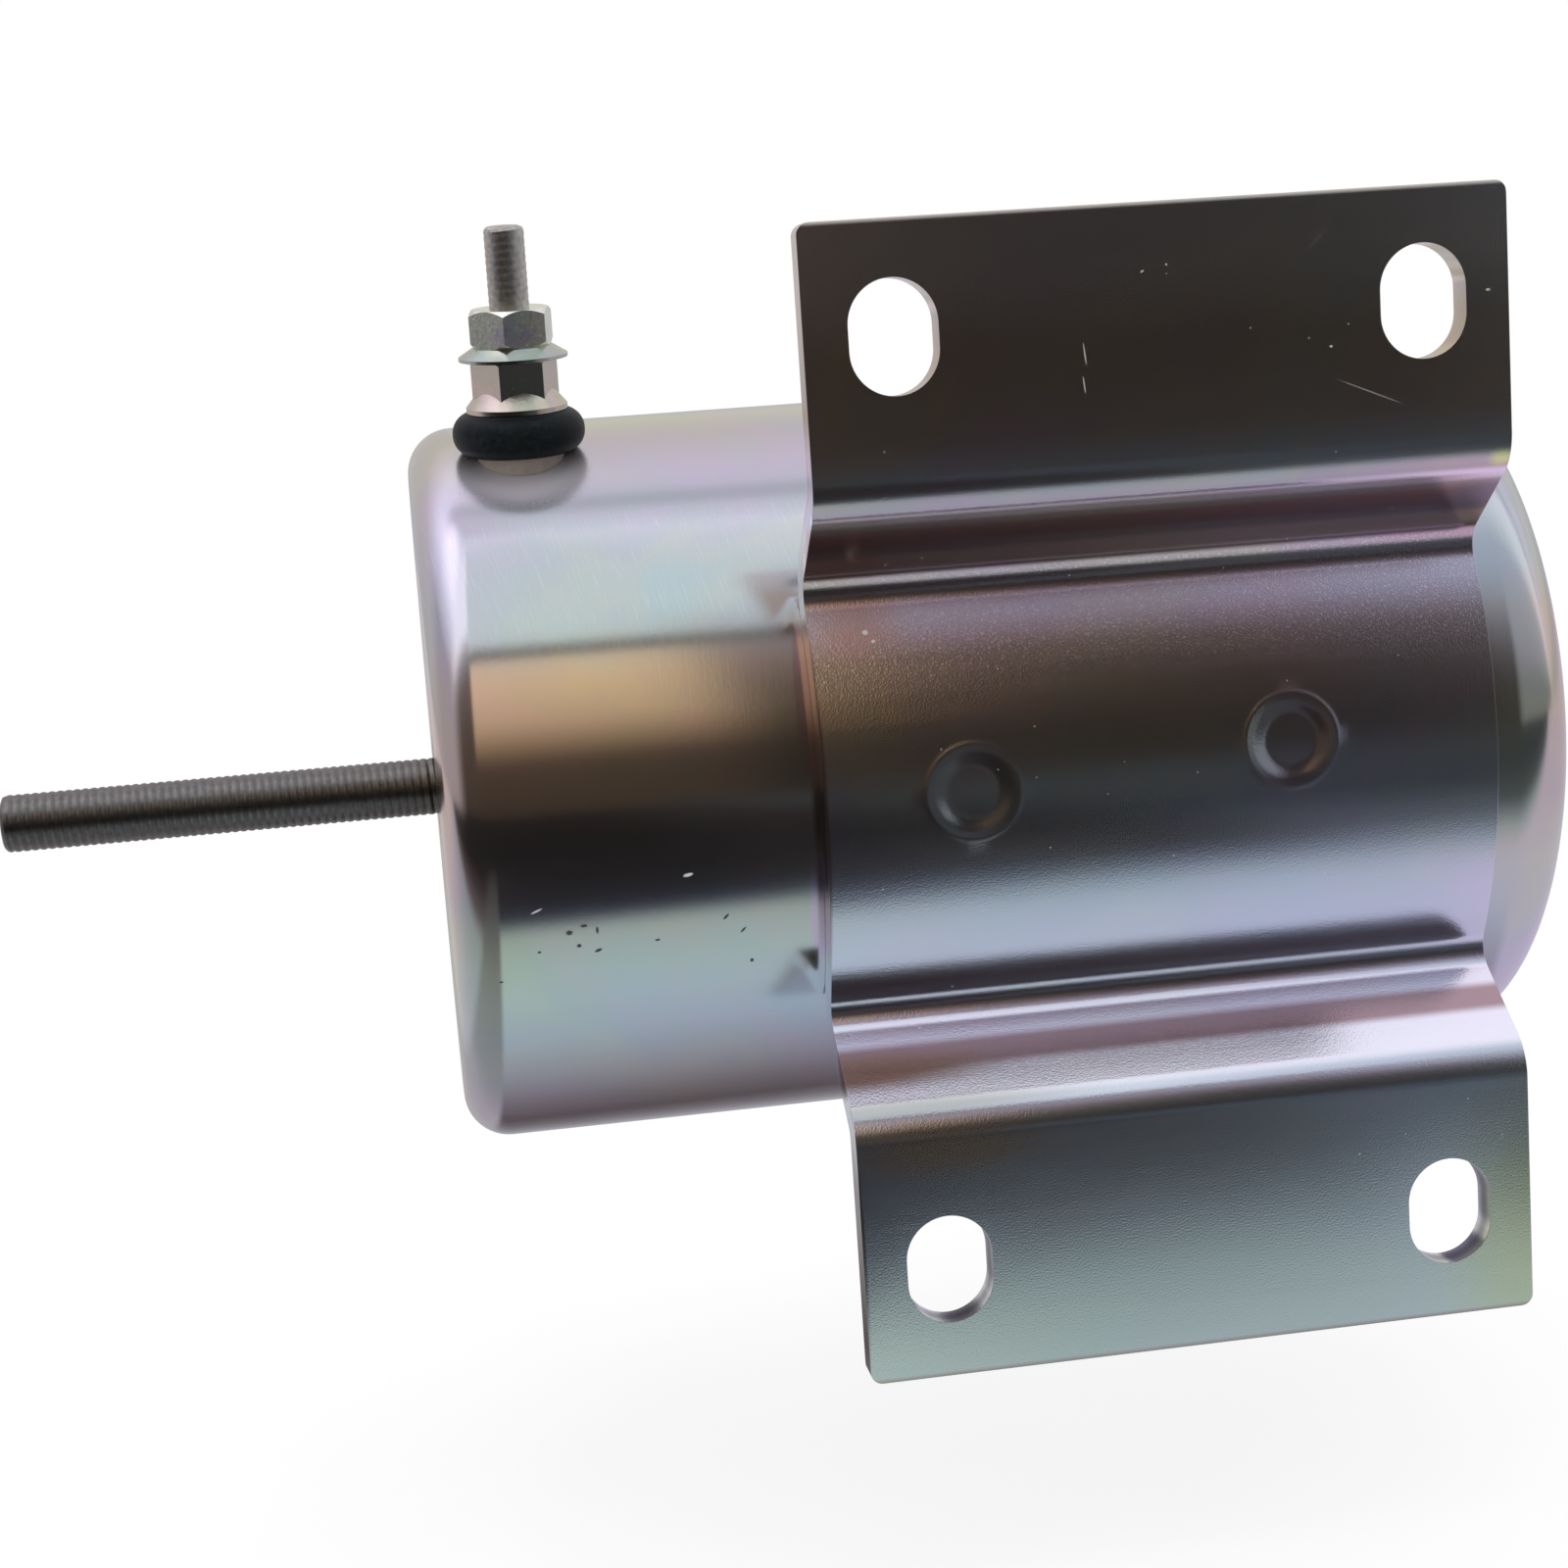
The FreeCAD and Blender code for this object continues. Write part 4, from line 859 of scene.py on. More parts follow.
@dataclass
class MountingBracket:
    """The folded sheet: two slotted flanges, two legs and the saddle that carries the case."""

    sheet: float = 3.2 * MM
    leg_foot: float = 30.3 * MM
    lean: float = math.radians(53)
    outer_fold: float = 5.0 * MM
    inner_fold: float = 2.8 * MM
    saddle: float = 43.0 * MM
    corner: float = 1.2 * MM
    slot_width: float = 8.7 * MM
    slot_length: float = 11.1 * MM
    slot_pitch: tuple[float, float] = (52.4 * MM, 92.1 * MM)
    dimples: tuple[Dimple, ...] = (
        Dimple(6.375 * MM, 1.0 * MM), Dimple(39.325 * MM, 3.3 * MM),
    )
    dimple_mouth: float = 4.45 * MM
    dimple_floor: float = 2.5 * MM
    dimple_depth: float = 0.32 * MM
    rim_height: float = 0.05 * MM
    rim_reach: float = 0.7 * MM
    fine: float = 0.22 * MM
    coarse: float = 1.6 * MM
    edge: float = 0.4 * MM
    edge_steps: int = 3
    edge_from: float = math.radians(40)
    fold_steps: int = 14
    corner_steps: int = 6
    slot_steps: int = 32
    left: float = field(init=False)
    right: float = field(init=False)
    top: float = field(init=False)
    fold_line: float = field(init=False)

    @property
    def dimple_reach(self) -> float:
        """How far a dimple changes the skin around its middle."""
        return self.dimple_mouth + self.rim_reach

    def build(self) -> None:
        """Builds and dresses the bracket."""
        low, high = box_of("mounting_bracket")
        self.left, self.right, self.top = low.x, high.x, high.z
        mesh = self.fold(self.skin())
        for side in (1, -1):
            self.flange(mesh, side)
        bmesh.ops.remove_doubles(mesh, verts=mesh.verts, dist=WELD)
        bmesh.ops.recalc_face_normals(mesh, faces=mesh.faces)
        if sum(face.normal.y for face in mesh.faces) > 0:
            bmesh.ops.reverse_faces(mesh, faces=mesh.faces)
        front = mesh.verts[:]
        bmesh.ops.solidify(mesh, geom=mesh.faces[:], thickness=self.sheet)
        for vert in front:
            vert.co.y += self.sink(vert.co)
        bracket = piece_from(mesh, "folded_bracket", crease=30.0)
        bevel = bracket.modifiers.new("broken_edges", "BEVEL")
        bevel.width, bevel.segments = self.edge, self.edge_steps
        bevel.limit_method, bevel.angle_limit, bevel.harden_normals = "ANGLE", self.edge_from, True
        dress(bracket, BRACKET_FINISH.make(), Body.ROOT, Slot.BRACKET, "mounting_bracket")

    def skin(self) -> Wire:
        """Draws the front of the fold from the upper flange to the lower one.

        Returns:
            The outline at the left edge.
        """
        normal = Vector((0, -math.cos(self.lean), -math.sin(self.lean)))
        down = Vector((0, math.sin(self.lean), -math.cos(self.lean)))
        middle = Vector((self.left, AXIS_Y, 0))
        nest = Vector((self.left, 0, self.leg_foot)) + self.inner_fold * normal
        along = (middle - nest).dot(down)
        miss = (middle - nest - along * down).length
        nest += (along - math.sqrt((self.saddle + self.inner_fold) ** 2 - miss ** 2)) * down
        share = math.atan2(nest.z, middle.y - nest.y)
        self.fold_line = self.leg_foot + self.outer_fold * math.tan(self.lean / 2)
        upper = Vector((self.left, self.outer_fold, self.fold_line))
        lower = Vector((self.left, self.outer_fold, -self.fold_line))
        outline = Wire(Vector((self.left, 0, self.fold_line)))
        outline.arc(upper, X_AXIS, self.lean, self.fold_steps)
        outline.line(nest - self.inner_fold * normal)
        outline.arc(nest, X_AXIS, -self.lean - share, self.fold_steps)
        low, high = (math.asin(height / self.saddle) for height in self.dimple_rows())
        for start, end, step in ((share, high, self.coarse), (high, low, self.fine),
                                 (low, -share, self.coarse)):
            steps = math.ceil((start - end) * self.saddle / step)
            outline.arc(middle, X_AXIS, start - end, steps)
        outline.arc(Vector((nest.x, nest.y, -nest.z)), X_AXIS, -self.lean - share, self.fold_steps)
        outline.line(lower + self.outer_fold * Vector((0, normal.y, -normal.z)))
        outline.arc(lower, X_AXIS, self.lean, self.fold_steps)
        return outline

    def dimple_rows(self) -> tuple[float, float]:
        """Works out the heights that the fine rows reach down and up to."""
        heights = [dimple.up for dimple in self.dimples]
        return min(heights) - self.dimple_reach, max(heights) + self.dimple_reach

    def stations(self) -> list[float]:
        """Spaces the columns along the rod, closer over the dimples.

        Returns:
            The places of the columns after the first.
        """
        stops = [(self.left, self.coarse)]
        for dimple in self.dimples:
            stops.append((dimple.along - self.dimple_reach, self.coarse))
            stops.append((dimple.along + self.dimple_reach, self.fine))
        stops.append((self.right, self.coarse))
        places = []
        for (start, _), (end, step) in zip(stops, stops[1:]):
            count = math.ceil((end - start) / step)
            places += [start + (end - start) * index / count for index in range(1, count + 1)]
        return places

    def fold(self, outline: Wire) -> BMesh:
        """Draws the outline out along the rod.

        Args:
            outline: the front of the fold.

        Returns:
            The folded skin.
        """
        mesh, place = outline.mesh, self.left
        edges = mesh.edges[:]
        for station in self.stations():
            grown = bmesh.ops.extrude_edge_only(mesh, edges=edges)["geom"]
            verts = [item for item in grown if isinstance(item, bmesh.types.BMVert)]
            edges = [item for item in grown if isinstance(item, bmesh.types.BMEdge)]
            bmesh.ops.translate(mesh, verts=verts, vec=X_AXIS * (station - place))
            place = station
        return mesh

    def flange(self, mesh: BMesh, side: int) -> None:
        """Fills a flange between the fold line, its three edges and its two slots.

        Args:
            mesh: the folded skin.
            side: 1 for the upper flange, -1 for the lower one.
        """
        def at(along: float, up: float) -> Vector:
            """Places a point of this flange by its distance from the middle plane."""
            return Vector((along, 0, side * up))

        level, quarter = self.top - self.corner, side * math.pi / 2
        edge = Wire(at(self.left, self.fold_line))
        edge.line(at(self.left, level))
        edge.arc(at(self.left + self.corner, level), Y_AXIS, quarter, self.corner_steps)
        edge.line(at(self.right - self.corner, self.top))
        edge.arc(at(self.right - self.corner, level), Y_AXIS, quarter, self.corner_steps)
        edge.line(at(self.right, self.fold_line))
        outlines = [edge]
        radius, half = self.slot_width / 2, (self.slot_length - self.slot_width) / 2
        bottom, top = self.slot_pitch[1] / 2 - half, self.slot_pitch[1] / 2 + half
        for along in (0, self.slot_pitch[0]):
            slot = Wire(at(along - radius, bottom))
            slot.line(at(along - radius, top))
            slot.arc(at(along, top), Y_AXIS, 2 * quarter, self.slot_steps)
            slot.line(at(along + radius, bottom))
            slot.arc(at(along, bottom), Y_AXIS, 2 * quarter, self.slot_steps)
            outlines.append(slot)
        for outline in outlines:
            join(mesh, outline.mesh)
        limit = self.fold_line - WELD
        verts = [vert for vert in mesh.verts if side * vert.co.z > limit]
        bmesh.ops.remove_doubles(mesh, verts=verts, dist=WELD)
        rims = [item for item in mesh.edges if all(side * vert.co.z > limit for vert in item.verts)]
        bmesh.ops.triangle_fill(mesh, use_beauty=True, use_dissolve=False, edges=rims,
                                normal=-Y_AXIS)

    def sink(self, place: Vector) -> float:
        """Works out how deep the front lies under the plain saddle at a place.

        Args:
            place: a point of the front.

        Returns:
            The depth; a raised rim is less than nothing.
        """
        depth = 0.0
        for dimple in self.dimples:
            away = math.hypot(place.x - dimple.along, place.z - dimple.up)
            if place.y > AXIS_Y - self.saddle / 2 or away > self.dimple_reach:
                continue
            wall = smooth((away - self.dimple_floor) / (self.dimple_mouth - self.dimple_floor))
            rim = min(1.0, max(0.0, (away - self.dimple_mouth) / self.rim_reach))
            depth += self.dimple_depth * (1 - wall) - self.rim_height * math.sin(math.pi * rim)
        return depth


def smooth(share: float) -> float:
    """Eases a share, which is held to 0 to 1."""
    share = min(1.0, max(0.0, share))
    return share * share * (3 - 2 * share)


@dataclass(frozen=True)
class ThreadedBar:
    """A bar along X: an outside thread with a rounded tip, then a plain shank."""

    diameter: float
    pitch: float
    depth: float
    tip: float
    shank: float
    facets: int = 36
    shank_facets: int = 48
    form: tuple[float, ...] = (0.15, 0.4, 0.75, 1.0)
    spare: int = 3

    def cut(self, start: float, thread_end: float, end: float) -> BMesh:
        """Makes the bar.

        Args:
            start: where the thread starts.
            thread_end: where the shank takes over.
            end: where the shank ends.

        Returns:
            The bar, with its axis on X.
        """
        mesh = self.thread(start, thread_end)
        self.round_tip(mesh, start)
        shank = bmesh.new()
        half = self.shank / 2
        bmesh.ops.create_cone(shank, cap_ends=True, segments=self.shank_facets, radius1=half,
                              radius2=half, depth=end - thread_end)
        lie = Matrix.Rotation(math.pi / 2, 3, "Y")
        bmesh.ops.rotate(shank, verts=shank.verts, cent=(0, 0, 0), matrix=lie)
        bmesh.ops.translate(shank, verts=shank.verts, vec=((thread_end + end) / 2, 0, 0))
        join(mesh, shank)
        return mesh

    def thread(self, start: float, end: float) -> BMesh:
        """Winds one turn's outline along the thread and cuts its ends off square.

        Args:
            start: where it starts.
            end: where it ends.

        Returns:
            The thread.
        """
        crest, root = self.diameter / 2, self.diameter / 2 - self.depth
        first = start - self.spare / 2 * self.pitch
        turns = math.ceil((end - start) / self.pitch) + self.spare
        outline = Wire(Vector((first, 0, root)))
        for share, height in zip(self.form, (root, crest, crest, root)):
            outline.line(Vector((first + share * self.pitch, 0, height)))
        mesh = outline.mesh
        bmesh.ops.spin(mesh, geom=mesh.edges[:] + mesh.verts[:], cent=(0, 0, 0), axis=X_AXIS,
                       dvec=X_AXIS * self.pitch / self.facets, angle=math.tau * turns,
                       steps=turns * self.facets)
        bmesh.ops.remove_doubles(mesh, verts=mesh.verts, dist=WELD)
        for place, outward in ((start, -1), (end, 1)):
            bmesh.ops.bisect_plane(mesh, geom=mesh.verts[:] + mesh.edges[:] + mesh.faces[:],
                                   plane_co=(place, 0, 0), plane_no=X_AXIS * outward,
                                   clear_outer=True)
        rim = [edge for edge in mesh.edges if edge.is_boundary]
        bmesh.ops.holes_fill(mesh, edges=rim, sides=0)
        return mesh

    def round_tip(self, mesh: BMesh, start: float) -> None:
        """Draws the thread's first points in to a rounded tip.

        Args:
            mesh: the thread.
            start: where it starts.
        """
        for vert in mesh.verts:
            short = min(self.tip, max(0.0, self.tip - (vert.co.x - start)))
            room = self.diameter / 2 - self.tip + math.sqrt(self.tip ** 2 - short ** 2)
            reach = math.hypot(vert.co.y, vert.co.z)
            if reach > room:
                vert.co.y *= room / reach
                vert.co.z *= room / reach


@dataclass
class PlungerRod:
    """The threaded rod and its plain inner end."""

    bar: ThreadedBar = ThreadedBar(6.35 * MM, 0.907 * MM, 0.1 * MM, 0.7 * MM, 5.76 * MM)
    inside: float = 2.0 * MM

    def build(self) -> None:
        """Builds and dresses the rod."""
        low, high = box_of("plunger_rod")
        mesh = self.bar.cut(low.x, box_of("case")[0].x + self.inside, high.x)
        bmesh.ops.translate(mesh, verts=mesh.verts, vec=(0, AXIS_Y, 0))
        finish = PlainFinish("threaded_steel", (0.185, 0.178, 0.166), 1.0, 0.34, mottle=0.16,
                             grain=1500.0)
        rod = piece_from(mesh, "threaded_rod", crease=25.0)
        dress(rod, finish.make(), Body.PLUNGER, Slot.ROD, "plunger_rod")


@dataclass
class Terminal:
    """The stud on the case's top."""

    bar: ThreadedBar = ThreadedBar(4.166 * MM, 0.794 * MM, 0.035 * MM, 0.6 * MM, 3.65 * MM)
    chamfer: float = 0.45 * MM
    length: float = 35.2 * MM
    engaged: float = 0.4 * MM

    def build(self) -> None:
        """Builds and dresses the stud."""
        stated = mount("terminal_stud")
        up = Vector(stated["axis"]).normalized()
        free = stated["dims"]["length_mm"] * MM
        top = Vector(stated["pos_m"]) + up * (free / 2 + self.chamfer)
        mesh = self.bar.cut(0, self.chamfer + free + self.engaged, self.length)
        turn = X_AXIS.rotation_difference(-up).to_matrix()
        bmesh.ops.rotate(mesh, verts=mesh.verts, cent=(0, 0, 0), matrix=turn)
        bmesh.ops.translate(mesh, verts=mesh.verts, vec=top)
        finish = PlainFinish("stud_steel", (0.56, 0.54, 0.49), 1.0, 0.44, mottle=0.2, grain=1800.0)
        stud = piece_from(mesh, "threaded_stud", crease=25.0)
        dress(stud, finish.make(), Body.ROOT, Slot.FASTENER, "terminal_stud")


@dataclass(frozen=True)
class Spring:
    """A coil spring around the rod's axis, which a moving piece presses against a fixed face."""

    node: str
    name: str
    wire: float
    turns: int
    sides: int = 10
    facets: int = 24

    def wind(self) -> BMesh:
        """Winds round wire through the CAD spring's room.

        Returns:
            The coil.
        """
        low, high = box_of(self.node)
        mesh = bmesh.new()
        place = Matrix.Translation((low.x + self.wire / 2, AXIS_Y, AXIS_Y - low.y - self.wire / 2))
        bmesh.ops.create_circle(mesh, cap_ends=True, radius=self.wire / 2, segments=self.sides,
                                matrix=place @ Matrix.Rotation(math.pi / 2, 4, "X"))
        steps = self.turns * self.facets
        bmesh.ops.spin(mesh, geom=mesh.faces[:] + mesh.edges[:] + mesh.verts[:],
                       cent=(0, AXIS_Y, 0), axis=X_AXIS,
                       dvec=X_AXIS * (high.x - low.x - self.wire) / steps,
                       angle=math.tau * self.turns, steps=steps)
        return mesh

    def build(self) -> None:
        """Makes the spring and gives it mesh data of its own."""
        piece = piece_from(self.wind(), self.name, crease=50.0)
        dress(piece, SPRING_FINISH.make(), Body.ROOT, Slot.SPRING, self.node)
        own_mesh(piece)


@dataclass
class Springs:
    """The two springs behind the moving pieces."""

    plunger: Spring = Spring("return_spring", "plunger_spring", 1.5 * MM, 8)
    switch: Spring = Spring("switch_spring", "blade_spring", 0.7 * MM, 3)

    def build(self) -> None:
        """Builds both springs."""
        self.plunger.build()
        self.switch.build()


@dataclass
class Inside:
    """Everything that stays as it was made: the sealed pieces and the small terminal pieces."""

    def build(self) -> None:
        """Gives each of these nodes the finish of its slot."""
        finishes = {
            "guide_brass": PlainFinish("drawn_brass", (0.62, 0.46, 0.2), 1.0, 0.3),
            "seal_rubber": RubberFinish(),
            "rod_steel": PlainFinish("dark_steel", (0.3, 0.28, 0.26), 1.0, 0.4),
            "core_iron": PlainFinish("soft_iron", (0.36, 0.35, 0.34), 1.0, 0.45),
            "bright_steel": PlainFinish("bright_steel", (0.6, 0.6, 0.58), 1.0, 0.32),
            "spring_steel": SPRING_FINISH,
            "contact_copper": PlainFinish("copper_strip", (0.75, 0.4, 0.25), 1.0, 0.3),
            "winding_copper": PlainFinish("enamelled_wire", (0.5, 0.16, 0.06), 0.6, 0.35),
            "bush_moulding": PlainFinish("bush_moulding", (0.22, 0.18, 0.15), 0.0, 0.5),
            "bobbin_nylon": PlainFinish("bobbin_nylon", (0.76, 0.72, 0.62), 0.0, 0.5),
            "wrap_film": PlainFinish("wrap_film", (0.6, 0.48, 0.2), 0.0, 0.35),
            "fastener_plating": PlainFinish("nut_zinc", (0.62, 0.6, 0.55), 1.0, 0.3),
            "case_plating": CASE_FINISH,
            "bracket_plating": BRACKET_FINISH,
        }
        own = {
            "terminal_nut": FilmFinish("green_film", (
                (0.35, (0.92, 0.98, 0.80)), (0.5, (0.95, 0.98, 0.84)), (0.62, (0.86, 0.82, 0.88)),
            )),
            "terminal_washer": FilmFinish("teal_film", (
                (0.35, (0.46, 0.55, 0.49)), (0.5, (0.53, 0.57, 0.52)), (0.62, (0.66, 0.63, 0.40)),
            )),
            "terminal_flange_nut": FilmFinish("rosy_film", (
                (0.35, (0.60, 0.58, 0.46)), (0.5, (0.60, 0.56, 0.46)), (0.65, (0.66, 0.56, 0.50)),
            )),
        }
        made = {name: finish.make() for name, finish in (finishes | own).items()}
        for part in frame["record"]["subparts"]:
            node = frame["nodes"][part["node"]]
            node.data.materials.clear()
            name = part["node"] if part["node"] in own else part["material_slot"]
            node.data.materials.append(made[name])
            log.info("%s: %s", node.name, made[name].name)


class Part(Enum):
    """The parts of the room that bright metal mirrors, by their bearing from the front."""

    BACK = "back"
    LEFT = "left"
    SHADE = "shade"
    AHEAD = "ahead"
    ASIDE = "aside"
    RIGHT = "right"


DIM: Colour = (0.50, 0.50, 0.54)
# What the metal sees in each part of the room: pairs of the angle above the horizon, which runs
# over the top to 180 degrees at the back and below to -180, and the light from there. On the left
# the angle is the plain height above the horizon, up to 90 degrees.
ROOM: dict[Part, Stops] = {
    Part.BACK: (
        (-180, DIM), (-60, (0.56, 0.54, 0.60)), (40, (0.62, 0.60, 0.66)), (92, (0.74, 0.72, 0.78)),
        (99, (0.78, 0.77, 0.84)), (102, (0.60, 0.60, 0.66)), (104, (0.66, 0.66, 0.72)),
        (109, (1.04, 1.02, 1.14)), (119, (1.02, 1.00, 1.10)), (132, (0.84, 0.78, 0.86)),
        (148, (0.66, 0.62, 0.62)), (180, (0.56, 0.54, 0.52)),
    ),
    Part.LEFT: (
        (-180, DIM), (-8, (0.46, 0.44, 0.50)), (10, (0.46, 0.43, 0.47)), (26, (0.46, 0.42, 0.50)),
        (33, (0.70, 0.66, 0.76)), (40, (0.88, 0.84, 0.98)), (48, (1.16, 1.12, 1.30)),
        (58, (1.54, 1.44, 1.60)), (73, (1.56, 1.46, 1.62)), (84, (0.95, 0.95, 1.04)),
        (180, (0.95, 0.95, 1.04)),
    ),
    Part.SHADE: (
        (-180, DIM), (-60, (0.56, 0.54, 0.60)), (-30, (0.08, 0.07, 0.07)),
        (0, (0.07, 0.055, 0.048)), (24, (0.10, 0.078, 0.066)), (42, (0.17, 0.145, 0.14)),
        (50, (0.34, 0.34, 0.38)), (58, (1.24, 1.22, 1.34)), (80, (1.24, 1.18, 1.32)),
        (92, (0.95, 0.95, 1.04)), (160, (0.74, 0.74, 0.72)), (180, DIM),
    ),
    Part.AHEAD: (
        (-180, DIM), (-95, (0.60, 0.62, 0.68)), (-9, (0.010, 0.010, 0.011)),
        (-6.2, (0.011, 0.010, 0.011)), (-4.2, (0.060, 0.048, 0.036)), (8, (0.070, 0.054, 0.040)),
        (13, (0.085, 0.064, 0.048)), (17.5, (0.27, 0.20, 0.13)), (26, (0.66, 0.51, 0.36)),
        (38, (0.84, 0.66, 0.50)), (45, (0.86, 0.72, 0.58)), (46.2, (0.10, 0.10, 0.11)),
        (48.8, (0.10, 0.10, 0.11)), (50.4, (0.78, 0.86, 0.90)), (92.4, (0.84, 0.86, 0.90)),
        (160, (0.74, 0.74, 0.70)), (180, DIM),
    ),
    Part.ASIDE: (
        (-180, DIM), (-95, (0.60, 0.62, 0.68)), (-8, (0.026, 0.024, 0.024)),
        (6, (0.022, 0.020, 0.018)), (20, (0.038, 0.031, 0.030)), (30, (0.085, 0.070, 0.075)),
        (40, (0.22, 0.18, 0.22)), (44.5, (0.30, 0.27, 0.33)), (46.2, (0.12, 0.12, 0.13)),
        (48.2, (0.12, 0.12, 0.13)), (50.5, (0.60, 0.62, 0.72)), (60, (0.80, 0.86, 0.92)),
        (93, (0.86, 0.88, 0.94)), (180, DIM),
    ),
    Part.RIGHT: (
        (-180, DIM), (-95, (0.60, 0.62, 0.68)), (-30, (0.40, 0.42, 0.50)),
        (-16, (0.24, 0.28, 0.33)), (10, (0.24, 0.28, 0.33)), (26, (0.36, 0.42, 0.50)),
        (60, (0.50, 0.58, 0.66)), (74, (0.84, 0.88, 0.94)), (86, (0.96, 0.96, 1.02)),
        (89, (1.02, 1.01, 1.10)), (90.4, (1.02, 1.01, 1.10)), (92, (0.90, 0.90, 0.98)),
        (97.5, (0.80, 0.81, 0.88)), (101, (0.54, 0.57, 0.61)), (103.4, (0.54, 0.57, 0.61)),
        (107.5, (0.78, 0.77, 0.86)), (118, (0.80, 0.76, 0.85)), (140, (0.72, 0.67, 0.70)),
        (160, (0.70, 0.69, 0.62)), (180, DIM),
    ),
}
# Where one part of the room gives way to the next, in degrees to the right of straight ahead.
TURNS: tuple[tuple[Part, float, float], ...] = (
    (Part.ASIDE, 7.6, 9.8), (Part.RIGHT, 24, 34), (Part.SHADE, -20, -28), (Part.LEFT, -52, -80),
    (Part.BACK, -104, -134),
)


class Patch(Enum):
    """The stretches of the floor that bright metal mirrors."""

    CASE = "case"
    BRACKET = "bracket"
    ROD = "rod"
    LEFT_END = "left_end"
    RIGHT_END = "right_end"


# What the metal sees of the floor: pairs of a place in Y and the light from there. The object's own
# shadow darkens it under the case, and past its front edge the room is dark.
FLOOR: dict[Patch, Stops] = {
    Patch.CASE: (
        (-0.600, (0.011, 0.010, 0.011)), (-0.300, (0.010, 0.010, 0.011)),
        (-0.180, (0.014, 0.014, 0.015)), (-0.123, (0.020, 0.021, 0.024)),
        (-0.097, (0.028, 0.036, 0.058)), (-0.088, (0.12, 0.15, 0.17)), (-0.079, (0.38, 0.46, 0.44)),
        (-0.070, (0.50, 0.60, 0.56)), (-0.020, (0.54, 0.64, 0.70)), (0.002, (0.50, 0.56, 0.64)),
        (0.025, (0.38, 0.37, 0.42)), (0.045, (0.22, 0.20, 0.21)), (0.065, (0.12, 0.10, 0.10)),
        (0.110, (0.40, 0.40, 0.42)), (0.200, (0.66, 0.67, 0.70)),
    ),
    Patch.BRACKET: (
        (-0.600, (0.026, 0.024, 0.024)), (-0.300, (0.022, 0.020, 0.021)),
        (-0.180, (0.025, 0.025, 0.028)), (-0.145, (0.036, 0.033, 0.030)),
        (-0.123, (0.044, 0.047, 0.051)), (-0.108, (0.055, 0.062, 0.070)),
        (-0.097, (0.12, 0.145, 0.17)), (-0.087, (0.235, 0.28, 0.32)), (-0.073, (0.40, 0.49, 0.51)),
        (-0.055, (0.48, 0.56, 0.62)), (-0.020, (0.54, 0.60, 0.72)), (0.002, (0.50, 0.52, 0.64)),
        (0.025, (0.40, 0.38, 0.46)), (0.065, (0.24, 0.22, 0.26)), (0.200, (0.66, 0.67, 0.70)),
    ),
    Patch.ROD: (
        (-0.600, (0.012, 0.012, 0.012)), (-0.240, (0.012, 0.012, 0.012)),
        (-0.110, (0.11, 0.11, 0.11)), (-0.020, (0.29, 0.30, 0.32)), (0.035, (0.36, 0.36, 0.38)),
        (0.070, (0.46, 0.45, 0.48)), (0.200, (0.50, 0.48, 0.46)),
    ),
    Patch.LEFT_END: (
        (-0.600, (0.012, 0.012, 0.012)), (-0.200, (0.014, 0.014, 0.014)),
        (-0.134, (0.060, 0.050, 0.048)), (-0.085, (0.14, 0.12, 0.13)), (-0.050, (0.38, 0.42, 0.46)),
        (0.000, (0.46, 0.48, 0.56)), (0.070, (0.60, 0.56, 0.64)), (0.200, (0.70, 0.64, 0.66)),
    ),
    Patch.RIGHT_END: (
        (-0.600, (0.050, 0.060, 0.070)), (-0.240, (0.050, 0.062, 0.076)),
        (-0.120, (0.085, 0.10, 0.115)), (-0.090, (0.24, 0.28, 0.32)), (-0.072, (0.42, 0.46, 0.52)),
        (-0.045, (0.66, 0.58, 0.74)), (0.200, (0.64, 0.57, 0.68)),
    ),
}
# Where one stretch of the floor gives way to the next, in millimetres along X.
STRETCHES: tuple[tuple[Patch, float, float], ...] = (
    (Patch.BRACKET, -5, 45), (Patch.RIGHT_END, 83, 103), (Patch.ROD, -49, -56),
    (Patch.LEFT_END, -105, -125),
)


@dataclass(frozen=True)
class Lamp:
    """A soft square lamp that faces the object and doesn't show in bright metal."""

    name: str
    place: Triple
    size: float
    power: float

    def hang(self) -> None:
        """Hangs the lamp."""
        data = bpy.data.lights.new(self.name, "AREA")
        data.energy, data.size = self.power, self.size
        lamp = shown(self.name, data)
        lamp.location = self.place
        lamp.rotation_euler = (-Vector(self.place)).to_track_quat("-Z", "Y").to_euler()
        lamp.visible_glossy = False


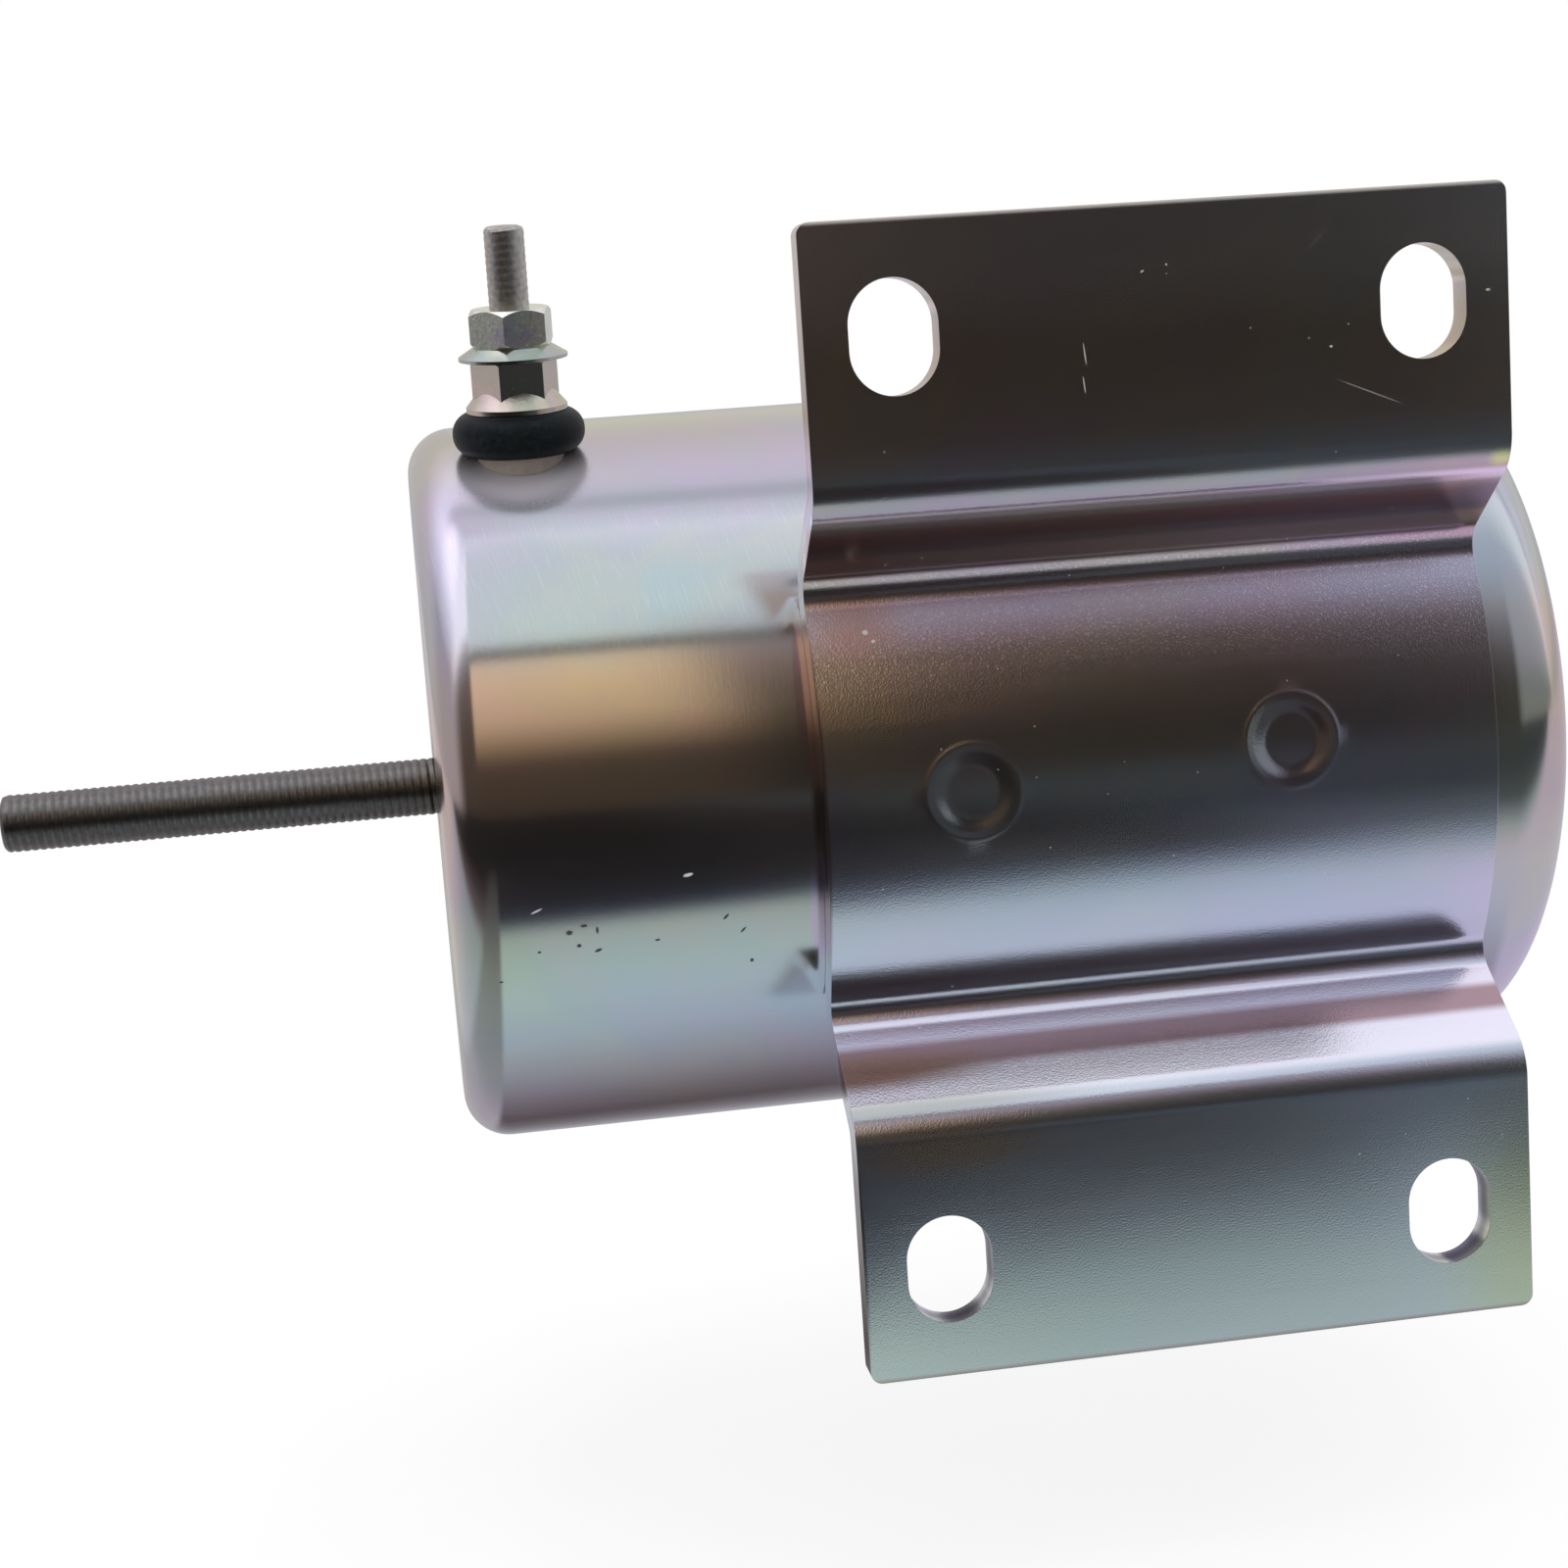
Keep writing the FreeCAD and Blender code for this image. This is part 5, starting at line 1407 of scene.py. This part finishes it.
@dataclass
class Studio:
    """Pale floor, white background, soft lamps, and what the bright metal sees of the room."""

    lens: float = 60.51
    clip: Span = (0.01, 20.0)
    place: Triple = (-47.64, -248.02, 44.54)
    turn: Triple = (9.1906, -7.7631, -5.2003)
    dull_light: Colour = (0.80, 0.80, 0.82)
    floor_level: float = -80 * MM
    floor_reach: float = 1.6
    floor_greys: Stops = ((0.3, (0.86, 0.86, 0.86)), (0.7, (0.9, 0.9, 0.9)))
    floor_grain: float = 60.0
    floor_roughness: float = 0.9
    floor_slant: float = 0.12
    shadow_place: Triple = (15.0, 45.0, -80.0)
    shadow_size: Triple = (1000.0, 1000.0, 1000.0)
    shadow_reach: Span = (0.06, 0.26)
    shadow_depth: float = 0.16
    lamps: tuple[Lamp, ...] = (
        Lamp("top_lamp", (0.1, 0.1, 0.9), 0.9, 7.0), Lamp("left_lamp", (-0.8, -0.5, 0.5), 0.5, 2.0),
    )

    def build(self) -> None:
        """Sets the stage."""
        self.camera()
        self.world()
        self.floor()
        for lamp in self.lamps:
            lamp.hang()
        bpy.context.scene.view_settings.view_transform = "Standard"

    def camera(self) -> None:
        """Places the camera at the photograph's angle."""
        data = bpy.data.cameras.new("camera")
        data.lens = self.lens
        data.clip_start, data.clip_end = self.clip
        camera = shown("camera", data)
        about_x, about_y, about_z = (
            Matrix.Rotation(math.radians(angle), 3, axis) for angle, axis in zip(self.turn, "XYZ"))
        lie = Matrix(((1, 0, 0), (0, 0, -1), (0, 1, 0)))
        view = about_z @ about_y @ about_x @ lie
        flip = Matrix.Diagonal((1, -1, -1))
        place = Matrix.Translation(Vector(self.place) * MM)
        camera.matrix_world = place @ (view.transposed() @ flip).to_4x4()
        bpy.context.scene.camera = camera

    def world(self) -> None:
        """White for the camera, soft grey for dull surfaces, the room for metal."""
        world = bpy.data.worlds.new("room")
        world.use_nodes = True
        bpy.context.scene.world = world
        world.cycles.sampling_method = "NONE"
        world.node_tree.nodes.clear()
        tree = NodeSheet(world.node_tree)
        across, toward, up = tree.axes(tree.add("ShaderNodeTexCoord").outputs["Generated"])
        ahead = tree.math("MULTIPLY", toward, -1.0)
        height = tree.turn(up, ahead)
        bearing = tree.math("MULTIPLY", tree.math("ARCTAN2", across, ahead), 180 / math.pi)
        lift = tree.math("MULTIPLY_ADD", tree.math("ARCSINE", up), 0.5 / math.pi, 0.5)
        seen = {}
        for part, stops in ROOM.items():
            levels = tuple((angle / 360 + 0.5, light) for angle, light in stops)
            seen[part] = tree.ramp(lift if part is Part.LEFT else height, levels)
        room = seen[Part.AHEAD]
        for part, start, end in TURNS:
            room = tree.mix(tree.between(bearing, start, end), room, seen[part])
        path = tree.add("ShaderNodeLightPath")
        light = tree.mix(path.outputs["Is Glossy Ray"], self.dull_light, room)
        for ray in ("Is Camera Ray", "Is Transmission Ray"):
            light = tree.mix(path.outputs[ray], light, WHITE)
        background = tree.add("ShaderNodeBackground", {"Color": light})
        tree.add("ShaderNodeOutputWorld", {0: background.outputs[0]})

    def floor(self) -> None:
        """Lays a pale floor: white to the camera with a faint shadow, darker to the metal."""
        mesh = bmesh.new()
        bmesh.ops.create_grid(mesh, x_segments=1, y_segments=1, size=self.floor_reach)
        bmesh.ops.translate(mesh, verts=mesh.verts, vec=(0, 0, self.floor_level))
        floor = shown("floor", data_from(mesh, "floor"))
        shader = Shader("pale_floor")
        grain = shader.noise(shader.coordinates, self.floor_grain)
        greys = shader.ramp(grain, self.floor_greys)
        shader.paint({"Base Color": greys, "Roughness": self.floor_roughness})
        along, toward, _ = shader.axes()
        place = shader.math("MULTIPLY_ADD", along, self.floor_slant, toward)
        seen = {patch: self.mirrored(shader, place, stops) for patch, stops in FLOOR.items()}
        floor_seen = seen[Patch.CASE]
        for patch, start, end in STRETCHES:
            stretch = shader.between(along, start * MM, end * MM)
            floor_seen = shader.mix(stretch, floor_seen, seen[patch])
        path = shader.add("ShaderNodeLightPath")
        glossy = path.outputs["Is Glossy Ray"]
        glow = shader.add("ShaderNodeEmission", {"Color": shader.mix(glossy, WHITE, floor_seen)})
        away = shader.away(self.shadow_size, 0.0, self.shadow_place)
        clear = shader.between(away, *self.shadow_reach)
        white = shader.math("MULTIPLY_ADD", clear, self.shadow_depth, 1 - self.shadow_depth)
        blend = shader.add("ShaderNodeMixShader", {
            0: shader.math("MULTIPLY_ADD", path.outputs["Is Camera Ray"], white, glossy),
            1: shader.surface.outputs[0],
            2: glow.outputs[0],
        })
        shader.feed(shader.tree.nodes["Material Output"].inputs["Surface"], blend.outputs[0])
        floor.data.materials.append(shader.material)

    def mirrored(self, shader: Shader, place: Socket, stops: Stops) -> Socket:
        """Works out the light that the metal sees of one stretch of the floor.

        Args:
            shader: the floor's material in the making.
            place: the place in Y, a little aslant.
            stops: pairs of a place in Y and the light.

        Returns:
            The light.
        """
        first, last = stops[0][0], stops[-1][0]
        inputs = {"Value": place, "From Min": first, "From Max": last}
        share = shader.add("ShaderNodeMapRange", inputs).outputs[0]
        span = last - first
        return shader.ramp(share, tuple(((y - first) / span, light) for y, light in stops))


def main() -> None:
    """Builds everything in order."""
    logging.basicConfig(level=logging.INFO, format="%(name)s: %(message)s")
    Inside().build()
    Housing().build()
    MountingBracket().build()
    PlungerRod().build()
    Terminal().build()
    Springs().build()
    Studio().build()


if __name__ == "__main__":
    main()
